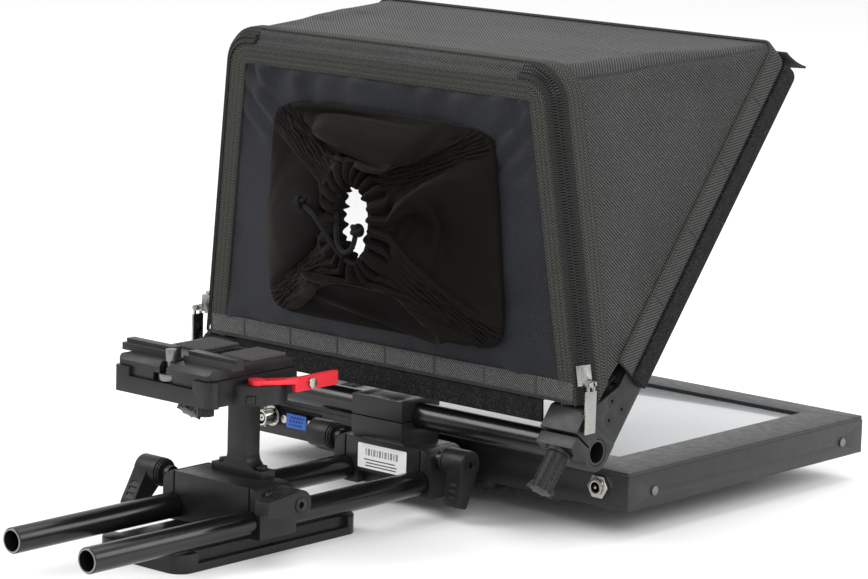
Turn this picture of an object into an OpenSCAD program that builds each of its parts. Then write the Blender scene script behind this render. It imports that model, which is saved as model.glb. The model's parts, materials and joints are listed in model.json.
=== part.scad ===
// Rod-mounted teleprompter with a reflected monitor, a tilting glass frame and a fabric hood.
// +X is to the right for the camera operator, +Y points at the speaker and +Z is up.
// The origin is the centre of the base plate's underside. All lengths are in millimetres.

/* [Rods] */
// Outer diameter of each support rod
rod_d = 15; // [14:0.5:16]
// Length of each support rod
rod_len = 300; // [280:5:340]
// Distance between the rod axes
rod_pitch = 60; // [58:1:62]
// Height of the rod axes above the underside
rod_z = 20; // [19.5:0.25:20.5]

/* [Base] */
// Width of the base plate
base_w = 68; // [64:1:74]
// Length of the base plate
base_len = 150; // [140:5:160]
// Thickness of the base plate
base_t = 11; // [10:0.5:11]
// Width of both rod blocks
block_w = 78; // [77:1:80]
// Length of both rod blocks along the rods
block_d = 30; // [28:1:30]

/* [Riser and camera adapter] */
// Height of the camera adapter's underside
adapter_z = 92.7; // [80:0.5:110]
// Half the width of the adapter
adapter_hw = 37; // [36:0.5:38]
// Length of the adapter along the rods
adapter_len = 74; // [70:1:76]

/* [Monitor] */
// Outer width of the monitor
mon_w = 312.5; // [304:0.5:313]
// Outer length of the monitor
mon_len = 240.5; // [232:0.5:250]
// Height of the monitor's underside
mon_z0 = 17.5; // [17:0.25:18]
// Height of the monitor's top face
mon_z1 = 41; // [40:0.25:42]
// Width of the visible screen
screen_w = 248; // [240:1:256]
// Length of the visible screen
screen_len = 186; // [180:1:192]

/* [Glass frame] */
// Angle of the beam-splitter glass above the horizontal
glass_tilt = 51.5; // [50:0.25:52.5]
// Outer radius of the cross tube
tube_r = 8; // [7.5:0.25:8]
// Half the length of the cross tube
tube_half = 155; // [155:0.5:157]
// Outer half width of the glass frame
frame_hw = 155; // [155:0.5:155.5]
// Distance from the tilt axis to the lower edge of the frame
frame_d0 = 42; // [41:0.5:43]
// Distance from the tilt axis to the upper edge of the frame
frame_d1 = 272; // [266:0.5:274]

/* [Hood] */
// Half the width of the hood's back opening at the bottom
rim_w0 = 150; // [148:0.5:151]
// Half the width of the hood's back opening at the top
rim_w1 = 125; // [120:0.5:130]
// Height of the lower end of the back opening
rim_z0 = 86.5; // [86:0.25:88]
// Height of the top of the back opening
rim_z1 = 274; // [268:0.5:278]
// Corner radius of the back opening
rim_r = 17; // [14:1:24]
// Thickness of the hood fabric with its stiffener
cloth_t = 1.5; // [1.5:0.1:1.8]

/* [Hidden] */

$fn = 48;
eps = 0.01;
run_gap = 0.05;      // radial clearance of a shaft that turns
slide_gap = 0.03;    // radial clearance of a rod that slides

rod_x = rod_pitch / 2;
rod_y0 = -142.4;
rod_wall = 1.6;
slit_w = 1.2;
jaw_r = 9;
block_top = 40.2;
lever_dy = 8;        // lever axis behind the front face of its block
lever_z = rod_z + 15;
lever_screw_r = 2.5;
hub_r = 8.5;
hub_x0 = 44.1;
arm_x0 = 52.2;
arm_x1 = 62.8;
arm_xc = (arm_x0 + arm_x1) / 2;

rear_y0 = -16;
front_y0 = 131;
front_gap = 0.4;     // front block above the base plate

post_y0 = 4.4;
post_t = 11.2;
post_hw = 7.5;
foot_hw = 20;
foot_t = 4.2;
foot_fillet = 8;

adapter_y0 = -58.4;
adapter_z1 = adapter_z + 14.8;
channel_hw = 25.2;
channel_z = adapter_z + 9.6;
bulge_c = [33, -18.4];
bulge_r = 20;
pivot_c = [44, -26];
button_angle = -48;
button_z = adapter_z + 3.3;
button_hh = 2.2;
pin_z = button_z + button_hh + 0.7;
knob_c = [29.7, -52.4];
slot_hw = 3.6;
plate_top = adapter_z + 20.8;
stud_r = 3.175;

hinge_y = 142.1;
hinge_z = 58;
tube_wall = 1.8;
seat_y0 = 124.9;
seat_y1 = 159.3;
seat_split = 55;
cap_top = 68;

mon_y0 = 171.7;
mon_y1 = mon_y0 + mon_len;
mon_wall = 1.5;
bezel_t = 2.5;
screen_y = mon_y0 + 124.6;
port_z = 30;

rail_w = 14;
rail_n0 = -11;
rail_n1 = 8;
rail_corner_r = 7.5;
glass_t = 3;
glass_n = -9;
arm_t = 3;
arm_d0 = 11.5;
clamp_x0 = 128;
clamp_r = 11.5;
clamp_knob_n = 14.5;
clamp_knob_x = 141.5;

rim_y0 = 137;
rim_lean = 0.055;
flap_g = -2.4;       // flap edge inside the zip line
flap_out = -4.0;     // outer face of the flap, measured from the rim
flap_in = -2.2;
strip_hw = 121;       // loop strip of the hood, below the flap
strip_z0 = 71.4;
strip_z1 = 85.7;
seam_n = 20;         // front seam of the hood above the glass plane

// Direction factors of the tapered sides of the back opening.
taper = atan((rim_w0 - rim_w1) / (rim_z1 - rim_z0));

// ---------------------------------------------------------------- helpers

// Point between a and b.
function mix(a, b, t) = a + (b - a) * t;

// Row-frame point of a place on the tilting frame: x across, d along the glass, n off it.
function frame_pt(x, d, n) = [
    x,
    hinge_y + d * cos(glass_tilt) - n * sin(glass_tilt),
    hinge_z + d * sin(glass_tilt) + n * cos(glass_tilt)
];

// Puts children on the tilting frame: +Y runs along the glass and +Z stands off it.
module on_frame() {
    translate([0, hinge_y, hinge_z]) rotate([glass_tilt, 0, 0]) children();
}

// Cylinder along X from x0 to x1.
module rod_along_x(r, x0, x1, y, z) {
    translate([x0, y, z]) rotate([0, 90, 0]) cylinder(r = r, h = x1 - x0);
}

// Cylinder along Y from y0 to y1.
module rod_along_y(r, y0, y1, x, z) {
    translate([x, y0, z]) rotate([-90, 0, 0]) cylinder(r = r, h = y1 - y0);
}

// Cylinder along Z from z0 to z1.
module rod_along_z(r, z0, z1, x, y) {
    translate([x, y, z0]) cylinder(r = r, h = z1 - z0);
}

// Plate with rounded vertical corners between two opposite corner points.
module slab(p0, p1, r) {
    size = p1 - p0;
    translate(p0 + [r, 0, 0]) cube([size.x - 2 * r, size.y, size.z]);
    translate(p0 + [0, r, 0]) cube([size.x, size.y - 2 * r, size.z]);
    for (x = [r, size.x - r], y = [r, size.y - r])
        translate(p0 + [x, y, 0]) cylinder(r = r, h = size.z);
}

// Block between two opposite corner points.
module box(p0, p1) {
    translate(p0) cube(p1 - p0);
}

// Closed solid between two grids of points that face each other.
// With wrap the first index closes on itself.
module sheet_solid(outer, inner, wrap = false) {
    n = len(outer);
    m = len(outer[0]);
    last = wrap ? n : n - 1;
    points = concat([for (row = outer) each row], [for (row = inner) each row]);
    half = n * m;
    faces = concat(
        [for (i = [0:last - 1], j = [0:m - 2]) each
            let (a = i * m + j, b = ((i + 1) % n) * m + j)
            [[a, b, b + 1], [a, b + 1, a + 1],
             [half + a, half + b + 1, half + b], [half + a, half + a + 1, half + b + 1]]],
        [for (i = [0:last - 1]) each
            let (a = i * m, b = ((i + 1) % n) * m)
            [[a, half + a, half + b], [a, half + b, b],
             [a + m - 1, b + m - 1, half + b + m - 1],
             [a + m - 1, half + b + m - 1, half + a + m - 1]]],
        wrap ? [] : [for (j = [0:m - 2]) each
            let (a = j, b = (n - 1) * m + j)
            [[a, a + 1, half + a + 1], [a, half + a + 1, half + a],
             [b, half + b + 1, b + 1], [b, half + b, half + b + 1]]]
    );
    polyhedron(points = points, faces = faces, convexity = 6);
}

// Tube swept through a list of rings; with loop the last ring joins the first.
module ring_sweep(rings, loop = false) {
    n = len(rings);
    k = len(rings[0]);
    last = loop ? n : n - 1;
    sides = [for (i = [0:last - 1], j = [0:k - 1]) each
        let (a = i * k, b = ((i + 1) % n) * k, c = (j + 1) % k)
        [[a + j, b + c, b + j], [a + j, a + c, b + c]]];
    ends = loop ? [] : [
        [for (j = [k - 1:-1:0]) j],
        [for (j = [0:k - 1]) (n - 1) * k + j]
    ];
    polyhedron(points = [for (r = rings) each r], faces = concat(sides, ends), convexity = 6);
}

// ---------------------------------------------------------------- base and rods

module base_plate() {
    half_len = base_len / 2;
    color([0.10, 0.10, 0.11]) difference() {
        slab([-base_w / 2, -half_len, 0], [base_w / 2, half_len, base_t], 10);
        // Long finger recesses in both sides.
        for (s = [-1, 1])
            box([min(s * 29.5, s * (base_w / 2 + 1)), -60, 4.7],
                [max(s * 29.5, s * (base_w / 2 + 1)), 64, base_t + 1]);
        // Tripod threads: one large in the middle and two small.
        rod_along_z(4.76, -1, base_t + 1, 0, 0);
        for (y = [-34, 34]) rod_along_z(stud_r, -1, base_t + 1, 0, y);
        // Countersunk seats of the two block screws.
        for (x = [-18, 18]) {
            rod_along_z(2.6, -1, base_t + 1, x, -1);
            rod_along_z(4.6, -1, 3.4, x, -1);
        }
    }
}

module base_screws() {
    color([0.35, 0.35, 0.37]) {
        for (x = [-18, 18]) {
            rod_along_z(2.5, 3, 16.5, x, -1);
            rod_along_z(4.4, 0.6, 3.3, x, -1);
        }
        for (x = [-14.5, 14.5]) {
            rod_along_z(2.0, 34, block_top + foot_t, x, post_y0 + post_t / 2);
            rod_along_z(3.5, block_top + foot_t, block_top + foot_t + 2.2, x, post_y0 + post_t / 2);
        }
        rod_along_z(3.0, adapter_z - 11, adapter_z + 5.6, 0, post_y0 + post_t / 2);
        rod_along_z(5.4, adapter_z + 5.7, adapter_z + 9.2, 0, post_y0 + post_t / 2);
    }
}

// Block with two split rod bores. Its middle is cut away from below up to arch_z.
module rod_block(y0, z0, arch_z) {
    top_round = block_top - jaw_r;
    y1 = y0 + block_d;
    difference() {
        union() {
            box([-rod_x, y0, z0], [rod_x, y1, block_top]);
            for (s = [-1, 1]) {
                rod_along_y(jaw_r, y0, y1, s * rod_x, top_round);
                box([min(s * rod_x, s * block_w / 2), y0, z0], [max(s * rod_x, s * block_w / 2), y1, top_round]);
            }
        }
        for (s = [-1, 1]) {
            rod_along_y(rod_d / 2 + slide_gap, y0 - 1, y1 + 1, s * rod_x, rod_z);
            box([s * rod_x - slit_w / 2, y0 - 1, rod_z], [s * rod_x + slit_w / 2, y1 + 1, block_top + 1]);
        }
        for (s = [-1, 1])
            rod_along_x(lever_screw_r, min(s * 16, s * 50), max(s * 16, s * 50), y0 + lever_dy, lever_z);
        box([-19.8, y0 - 1, z0 - 1], [19.8, y1 + 1, arch_z]);
    }
}

module rear_rod_block() {
    color([0.09, 0.09, 0.10]) difference() {
        rod_block(rear_y0, base_t, base_t);
        for (x = [-18, 18]) rod_along_z(2.5, base_t - 1, 17, x, -1);
        for (x = [-14.5, 14.5]) rod_along_z(2.0, 33, block_top + 1, x, post_y0 + post_t / 2);
    }
}

// Two clamping screws with their spacers and hexagon-socket heads.
module lever_screws(y) {
    color([0.55, 0.55, 0.57]) for (s = [-1, 1]) difference() {
        union() {
            rod_along_x(lever_screw_r, min(s * 17, s * 60.2), max(s * 17, s * 60.2), y, lever_z);
            rod_along_x(5, min(s * 39.1, s * 43.9), max(s * 39.1, s * 43.9), y, lever_z);
            rod_along_x(4.4, min(s * 60, s * 63.2), max(s * 60, s * 63.2), y, lever_z);
        }
        translate([s * 62.5, y, lever_z]) rotate([0, 90, 0]) cylinder(r = 2.2, h = 2.4, center = true, $fn = 6);
    }
}

// Outline of a lever arm that hangs from its hub.
function arm_outline() = concat(
    [for (a = [0:15:180]) (hub_r - 0.4) * [cos(a), sin(a)]],
    [[-5.6, -18], [-4.6, -25], [-3.4, -26.5], [3.4, -26.5], [4.6, -25], [5.6, -18]]
);

// Ratchet lever on side s, swung by the given angle from hanging straight down.
module clamp_lever(s, y, swing) {
    color([0.13, 0.13, 0.13]) translate([0, y, lever_z]) rotate([swing, 0, 0]) difference() {
        union() {
            // Hub, and the narrower arm at its outer end.
            rod_along_x(hub_r, min(s * 47, s * arm_x1), max(s * 47, s * arm_x1), 0, 0);
            translate([s > 0 ? arm_x0 : -arm_x1, 0, 0]) rotate([90, 0, 90])
                linear_extrude(height = arm_x1 - arm_x0) polygon(arm_outline());
            // Ribbed inner end of the hub.
            rod_along_x(7.4, min(s * hub_x0, s * 48), max(s * hub_x0, s * 48), 0, 0);
            rod_along_x(8.2, min(s * 45.2, s * 46.2), max(s * 45.2, s * 46.2), 0, 0);
        }
        rod_along_x(lever_screw_r + run_gap, min(s * 40, s * 66), max(s * 40, s * 66), 0, 0);
        rod_along_x(4.4 + run_gap, min(s * 59.8, s * 66), max(s * 59.8, s * 66), 0, 0);
        // Three finger marks in the face of the arm.
        for (k = [0:2])
            box([s * arm_xc - 3, -hub_r, -13.5 - 3.8 * k], [s * arm_xc + 3, -5.8 + 0.55 * k, -11.5 - 3.8 * k]);
    }
}

// Hollow rod with chamfered ends on side s.
module rod(s) {
    r = rod_d / 2;
    color([0.08, 0.08, 0.09]) translate([s * rod_x, rod_y0, rod_z]) rotate([-90, 0, 0])
        rotate_extrude() polygon([
            [r - rod_wall, 0], [r - 0.7, 0], [r, 0.7],
            [r, rod_len - 0.7], [r - 0.7, rod_len], [r - rod_wall, rod_len]
        ]);
}

// ---------------------------------------------------------------- riser and adapter

module riser_post() {
    z0 = block_top;
    zf = z0 + foot_t;
    color([0.12, 0.12, 0.13]) difference() {
        union() {
            box([-post_hw, post_y0, z0], [post_hw, post_y0 + post_t, adapter_z]);
            box([-foot_hw, post_y0, z0], [foot_hw, post_y0 + post_t, zf]);
            for (s = [-1, 1]) difference() {
                box([min(s * post_hw, s * (post_hw + foot_fillet)), post_y0, zf - eps],
                    [max(s * post_hw, s * (post_hw + foot_fillet)), post_y0 + post_t, zf + foot_fillet]);
                rod_along_y(foot_fillet, post_y0 - 1, post_y0 + post_t + 1,
                    s * (post_hw + foot_fillet), zf + foot_fillet);
            }
        }
        for (x = [-14.5, 14.5]) {
            rod_along_z(2.0, z0 - 1, zf + 1, x, post_y0 + post_t / 2);
            rod_along_z(3.8, zf, zf + 8, x, post_y0 + post_t / 2);
        }
        rod_along_z(3.0, adapter_z - 12, adapter_z + 1, 0, post_y0 + post_t / 2);
    }
}

module adapter_body() {
    y1 = adapter_y0 + adapter_len;
    color([0.12, 0.12, 0.12]) difference() {
        union() {
            slab([-adapter_hw, adapter_y0, adapter_z], [adapter_hw, y1, adapter_z1], 2.5);
            rod_along_z(bulge_r, adapter_z, adapter_z + 10.8, bulge_c.x, bulge_c.y);
            rod_along_z(3, adapter_z, adapter_z1, adapter_hw, adapter_y0 + 5);
        }
        // Channel of the sliding camera plate.
        box([-channel_hw, adapter_y0 - 1, channel_z], [channel_hw, y1 + 1, adapter_z1 + 1]);
        // Fixing screw with its head sunk in the channel floor.
        rod_along_z(3.0, adapter_z - 1, adapter_z + 7, 0, post_y0 + post_t / 2);
        rod_along_z(5.5, adapter_z + 5.6, channel_z + 1, 0, post_y0 + post_t / 2);
        // Pivot of the lock lever.
        rod_along_z(3 + run_gap, pin_z - 0.5, adapter_z + 12, pivot_c.x, pivot_c.y);
        // Pocket of the release button.
        translate([bulge_c.x, bulge_c.y, button_z]) rotate([0, 0, button_angle])
            translate([bulge_r - 9, -2.8, -button_hh - 0.3]) cube([12, 5.6, 2 * button_hh + 0.6]);
        // Thread of the friction knob.
        rod_along_z(2.5 + run_gap, adapter_z - 1, adapter_z + 7, knob_c.x, knob_c.y);
    }
}

module friction_knob() {
    color([0.12, 0.12, 0.12]) difference() {
        union() {
            rod_along_z(5, adapter_z - 5.2, adapter_z - 0.3, knob_c.x, knob_c.y);
            rod_along_z(2.5, adapter_z - 1, adapter_z + 6, knob_c.x, knob_c.y);
        }
        for (a = [0:30:330]) rod_along_z(0.7, adapter_z - 6, adapter_z + 1,
            knob_c.x + 5.3 * cos(a), knob_c.y + 5.3 * sin(a));
    }
}

module lock_lever() {
    z0 = adapter_z + 11.1;
    color([0.78, 0.05, 0.09]) {
        rod_along_z(5, z0, z0 + 3, pivot_c.x, pivot_c.y);
        rod_along_z(3, pin_z, z0 + 1, pivot_c.x, pivot_c.y);
        translate([0, 0, z0]) linear_extrude(height = 2.6) polygon([
            [pivot_c.x + 2.5, pivot_c.y - 4.3], [pivot_c.x + 10, pivot_c.y + 10], [58.5, -8],
            [58.5, 6], [54, 6], [51, -8], [pivot_c.x - 3, pivot_c.y + 4]
        ]);
        slab([54, -9, adapter_z + 6.6], [58.5, 26, adapter_z + 14.2], 1.4);
    }
}

module lever_rivet() {
    color([0.85, 0.85, 0.86]) rod_along_x(3, 58.5, 60.3, 3, adapter_z + 10.4);
}

module release_button() {
    color([0.07, 0.07, 0.07]) translate([bulge_c.x, bulge_c.y, button_z])
        rotate([0, 0, button_angle]) translate([bulge_r - 6.2, -2.5, -button_hh]) cube([7.2, 5, 2 * button_hh]);
}

module camera_plate() {
    z_flange = adapter_z1 + 0.3;
    y0 = adapter_y0 + 2;
    y1 = adapter_y0 + adapter_len - 2;
    color([0.15, 0.15, 0.15]) difference() {
        union() {
            box([-channel_hw + 0.3, y0, channel_z + 0.3], [channel_hw - 0.3, y1, z_flange + 1]);
            slab([-adapter_hw + 1, y0, z_flange], [adapter_hw - 1, y1, plate_top], 2);
            // Anti-twist bar in two ridges, split by the screw slot.
            slab([-44, -46, plate_top - eps], [44, -41.5, plate_top + 4], 1);
            slab([-44, -42.5, plate_top - eps], [44, -36, plate_top + 6], 1);
        }
        // Bevelled ends of the flange.
        for (y = [y0, y1]) translate([0, y, plate_top + 1]) rotate([45, 0, 0])
            cube([100, 5.4, 5.4], center = true);
        // Slot of the camera screw, with a wider slot for its head.
        hull() for (y = [-54, 4]) rod_along_z(slot_hw, channel_z - 1, plate_top + 10, 0, y);
        box([-7.6, -60, channel_z], [7.6, y1 - 2, channel_z + 5]);
        box([-6, -47, plate_top], [6, -35, plate_top + 10]);
    }
}

// Two cork-rubber pads with cross ribs.
module plate_pads() {
    color([0.32, 0.31, 0.30]) for (s = [-1, 1]) {
        box([s * 18.5 - 11.5, -17, plate_top], [s * 18.5 + 11.5, 12, plate_top + 0.9]);
        for (k = [0:13])
            box([s * 18.5 - 11.5, -16.4 + 2.1 * k, plate_top + 0.8],
                [s * 18.5 + 11.5, -15.3 + 2.1 * k, plate_top + 1.5]);
    }
}

module camera_screw() {
    y = -50;
    color([0.80, 0.80, 0.80]) difference() {
        union() {
            rod_along_z(stud_r, plate_top + 0.2, plate_top + 7, 0, y);
            rod_along_z(stud_r - 0.6, channel_z + 2, plate_top + 1, 0, y);
            rod_along_z(7, channel_z + 0.7, channel_z + 4.6, 0, y);
        }
        box([-8, y - 0.7, channel_z], [8, y + 0.7, channel_z + 2]);
    }
}

// ---------------------------------------------------------------- front carriage

module front_rod_block() {
    color([0.10, 0.10, 0.11]) difference() {
        rod_block(front_y0, base_t + front_gap, 19.5);
        // Threads for the seat screws above and the bracket screws below.
        for (x = [-12, 12]) {
            rod_along_z(2, 30, block_top + 1, x, 154.7);
            rod_along_z(2, 18, 30, x, 152);
        }
    }
}

module tube_clamp_seat() {
    color([0.09, 0.09, 0.10]) difference() {
        union() {
            box([-20, seat_y0 + 6, block_top], [20, seat_y1, seat_split]);
            box([-20, seat_y0, block_top + 6], [20, seat_y0 + 7, seat_split]);
            rod_along_x(6, -20, 20, seat_y0 + 6, block_top + 6);
        }
        rod_along_x(tube_r + 0.02, -21, 21, hinge_y, hinge_z);
        for (x = [-12, 12]) {
            rod_along_z(2, block_top - 1, seat_split + 1, x, 154.7);
            rod_along_z(2, block_top + 4, seat_split + 1, x, 129.5);
        }
    }
}

module tube_clamp_cap() {
    color([0.10, 0.10, 0.11]) difference() {
        box([-20, seat_y0, seat_split + 0.8], [20, seat_y1, cap_top]);
        rod_along_x(tube_r + 0.02, -21, 21, hinge_y, hinge_z);
        for (x = [-12, 12], y = [129.5, 154.7]) {
            rod_along_z(2, seat_split, cap_top + 1, x, y);
            rod_along_z(3.7, cap_top - 4, cap_top + 1, x, y);
        }
    }
}

module cap_screws() {
    color([0.20, 0.20, 0.21]) for (x = [-12, 12], y = [129.5, 154.7]) difference() {
        union() {
            rod_along_z(2, y > hinge_y ? 31 : block_top + 5, cap_top - 3.9, x, y);
            rod_along_z(3.5, cap_top - 4, cap_top - 0.2, x, y);
        }
        translate([x, y, cap_top - 2]) cylinder(r = 1.7, h = 3, $fn = 6);
    }
}

module cross_tube() {
    color([0.08, 0.08, 0.09]) translate([-tube_half, hinge_y, hinge_z]) rotate([0, 90, 0])
        rotate_extrude() polygon([
            [tube_r - tube_wall, 0], [tube_r - 0.5, 0], [tube_r, 0.5],
            [tube_r, 2 * tube_half - 0.5], [tube_r - 0.5, 2 * tube_half],
            [tube_r - tube_wall, 2 * tube_half]
        ]);
}

module monitor_bracket() {
    z0 = mon_z0 - 6;
    color([0.10, 0.10, 0.10]) difference() {
        union() {
            box([-19.5, 136, z0], [19.5, 180, mon_z0]);
            slab([-50, 174, z0], [50, 246, mon_z0], 8);
            // Pad that fills the arch of the rod block.
            box([-19.5, 136, mon_z0 - eps], [19.5, 160, 19.5]);
        }
        for (x = [-12, 12]) {
            rod_along_z(2.1, z0 - 1, 21, x, 152);
            rod_along_z(3.9, z0 - 1, z0 + 2.6, x, 152);
        }
        for (x = [-37.5, 37.5], y = [184, 236]) {
            rod_along_z(2.1, z0 - 1, mon_z0 + 1, x, y);
            rod_along_z(3.9, z0 - 1, z0 + 2.6, x, y);
        }
    }
}

module monitor_housing() {
    x = mon_w / 2;
    z1 = mon_z1 - bezel_t;
    color([0.11, 0.11, 0.12]) difference() {
        box([-x, mon_y0, mon_z0], [x, mon_y1, z1]);
        box([-x + mon_wall, mon_y0 + mon_wall, mon_z0 + mon_wall],
            [x - mon_wall, mon_y1 - mon_wall, z1 + 1]);
        // Socket openings in the rear wall.
        rod_along_y(5.1, mon_y0 - 1, mon_y0 + 3, 135.4, port_z);
        rod_along_y(5.1, mon_y0 - 1, mon_y0 + 3, -127.8, port_z);
        box([-112.6, mon_y0 - 1, port_z - 4.6], [-95.4, mon_y0 + 3, port_z + 4.6]);
        for (sx = [-115.2, -92.8]) rod_along_y(1.6, mon_y0 - 1, mon_y0 + 3, sx, port_z);
        // Bracket screws below and case screws at the sides.
        for (px = [-37.5, 37.5], py = [184, 236]) rod_along_z(2, mon_z0 - 1, mon_z0 + 4, px, py);
        for (s = [-1, 1], y = [mon_y0 + 25, mon_y1 - 22])
            rod_along_x(1.6, min(s * (x - 3), s * (x + 1)), max(s * (x - 3), s * (x + 1)), y, 27);
    }
}

module monitor_bezel() {
    x = mon_w / 2;
    color([0.12, 0.12, 0.13]) difference() {
        slab([-x, mon_y0, mon_z1 - bezel_t], [x, mon_y1, mon_z1], 1.5);
        box([-screen_w / 2, screen_y - screen_len / 2, mon_z1 - 5],
            [screen_w / 2, screen_y + screen_len / 2, mon_z1 + 1]);
    }
}

// Shallow cover on the underside, open in the middle for the bracket.
module monitor_back_cover() {
    z0 = mon_z0 - 4.2;
    color([0.09, 0.09, 0.10]) {
        slab([-105, 250, z0], [105, 392, mon_z0], 20);
        for (s = [-1, 1]) slab([min(s * 54, s * 105), 175, z0], [max(s * 54, s * 105), 300, mon_z0], 16);
    }
}

module lcd_panel() {
    color([0.72, 0.74, 0.75]) box([-screen_w / 2 - 6, screen_y - screen_len / 2 - 6, mon_z1 - bezel_t - 6],
        [screen_w / 2 + 6, screen_y + screen_len / 2 + 6, mon_z1 - bezel_t]);
}

module monitor_board() {
    color([0.05, 0.30, 0.12]) {
        box([-150, mon_y0 + 12, 22], [150, mon_y0 + 105, 23.6]);
        // Driver chips and a screened inverter.
        box([-60, mon_y0 + 40, 23.5], [-30, mon_y0 + 70, 26.5]);
        box([20, mon_y0 + 36, 23.5], [70, mon_y0 + 84, 28.5]);
        for (k = [0:5]) rod_along_z(4, 23.5, 29.5, 84 + 11 * k, mon_y0 + 84);
    }
}

module vga_socket() {
    y0 = mon_y0 - 0.9;
    color([0.12, 0.30, 0.72]) difference() {
        union() {
            box([-119.5, y0, port_z - 6], [-88.5, mon_y0, port_z + 6]);
            box([-112.5, y0 - 4.6, port_z - 4.5], [-95.5, mon_y0 + 9, port_z + 4.5]);
            for (x = [-115.2, -92.8]) rod_along_y(2.6, y0 - 4, y0, x, port_z);
            for (x = [-115.2, -92.8]) rod_along_y(1.5, y0, mon_y0 + 6, x, port_z);
        }
        // Fifteen contact holes in three rows.
        for (row = [-1:1], k = [-2:2])
            rod_along_y(0.6, y0 - 5, y0 + 2, -104 + 2.4 * k + 0.9 * row, port_z + 2.4 * row);
    }
}

module bnc_socket() {
    color([0.75, 0.75, 0.72]) difference() {
        union() {
            rod_along_y(5.0, mon_y0 - 13, mon_y0 + 8, -127.8, port_z);
            rod_along_y(6.6, mon_y0 - 3, mon_y0, -127.8, port_z);
            rod_along_y(1.0, mon_y0 - 9, mon_y0 - 7, -127.8, port_z);
            translate([-127.8, mon_y0 - 8.4, port_z]) cylinder(r = 1, h = 12.4, center = true);
        }
        difference() {
            rod_along_y(3.9, mon_y0 - 14, mon_y0 - 2, -127.8, port_z);
            rod_along_y(2.2, mon_y0 - 12, mon_y0 - 1, -127.8, port_z);
        }
        rod_along_y(0.7, mon_y0 - 14, mon_y0 - 4, -127.8, port_z);
    }
}

module dc_jack() {
    color([0.78, 0.78, 0.76]) difference() {
        union() {
            rod_along_y(5.0, mon_y0 - 5, mon_y0 + 10, 135.4, port_z);
            translate([135.4, mon_y0, port_z]) rotate([90, 0, 0]) cylinder(r = 7.6, h = 3, $fn = 6);
        }
        difference() {
            rod_along_y(3.2, mon_y0 - 6, mon_y0 + 6, 135.4, port_z);
            rod_along_y(1.0, mon_y0 - 7, mon_y0 + 7, 135.4, port_z);
        }
    }
}

module monitor_screws() {
    x = mon_w / 2;
    z0 = mon_z0 - 6;
    color([0.80, 0.80, 0.80]) {
        for (s = [-1, 1], y = [mon_y0 + 25, mon_y1 - 22]) {
            rod_along_x(1.5, min(s * (x - 5), s * x), max(s * (x - 5), s * x), y, 27);
            rod_along_x(2.8, min(s * x, s * (x + 0.9)), max(s * x, s * (x + 0.9)), y, 27);
        }
        for (sx = [-37.5, 37.5], y = [184, 236]) {
            rod_along_z(2, z0 + 0.4, mon_z0 + 3.5, sx, y);
            rod_along_z(3.7, z0 + 0.3, z0 + 2.5, sx, y);
        }
        for (sx = [-12, 12]) {
            rod_along_z(2, z0 + 0.4, 28, sx, 152);
            rod_along_z(3.7, z0 + 0.3, z0 + 2.5, sx, 152);
        }
    }
}

// ---------------------------------------------------------------- glass frame

// Groove that holds the glass and its gasket.
module glass_groove(grow) {
    box([-frame_hw + 9 - grow, frame_d0 + 6 - grow, glass_n - 0.9],
        [frame_hw - 9 + grow, frame_d1 - 6 + grow, glass_n + glass_t + 0.9]);
}

module side_rail(s) {
    corner = [s * (frame_hw - rail_corner_r), frame_d1 - rail_corner_r];
    color([0.10, 0.10, 0.10]) on_frame() difference() {
        box([min(s * (frame_hw - rail_w), s * frame_hw), frame_d0, rail_n0],
            [max(s * (frame_hw - rail_w), s * frame_hw), frame_d1, rail_n1]);
        glass_groove(0);
        // Pocket of the arm plate.
        box([min(s * (frame_hw - arm_t), s * (frame_hw + 1)), frame_d0 - 1, rail_n0 - 1],
            [max(s * (frame_hw - arm_t), s * (frame_hw + 1)), 70, rail_n1 + 1]);
        // Rounded upper corner inside the hood's collar.
        difference() {
            box([min(corner.x, s * (frame_hw + 1)), corner.y, rail_n0 - 1],
                [max(corner.x, s * (frame_hw + 1)), frame_d1 + 1, rail_n1 + 1]);
            rod_along_z(rail_corner_r, rail_n0 - 2, rail_n1 + 2, corner.x, corner.y);
        }
    }
}

module cross_rail(d0, d1) {
    inner = frame_hw - rail_w;
    color([0.10, 0.10, 0.10]) on_frame() difference() {
        box([-inner, d0, rail_n0], [inner, d1, rail_n1]);
        glass_groove(0);
    }
}

module beamsplitter_glass() {
    color([0.70, 0.78, 0.80, 0.35]) on_frame()
        box([-frame_hw + 9.8, frame_d0 + 6.8, glass_n], [frame_hw - 9.8, frame_d1 - 6.8, glass_n + glass_t]);
}

module glass_gasket() {
    inset = rail_w + 0.6;
    color([0.05, 0.05, 0.05]) on_frame() difference() {
        glass_groove(0);
        box([-frame_hw + inset, frame_d0 + inset - 2.4, glass_n - 2],
            [frame_hw - inset, frame_d1 - inset + 2.4, glass_n + glass_t + 2]);
        box([-frame_hw + 9.8, frame_d0 + 6.8, glass_n], [frame_hw - 9.8, frame_d1 - 6.8, glass_n + glass_t]);
    }
}

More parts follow.
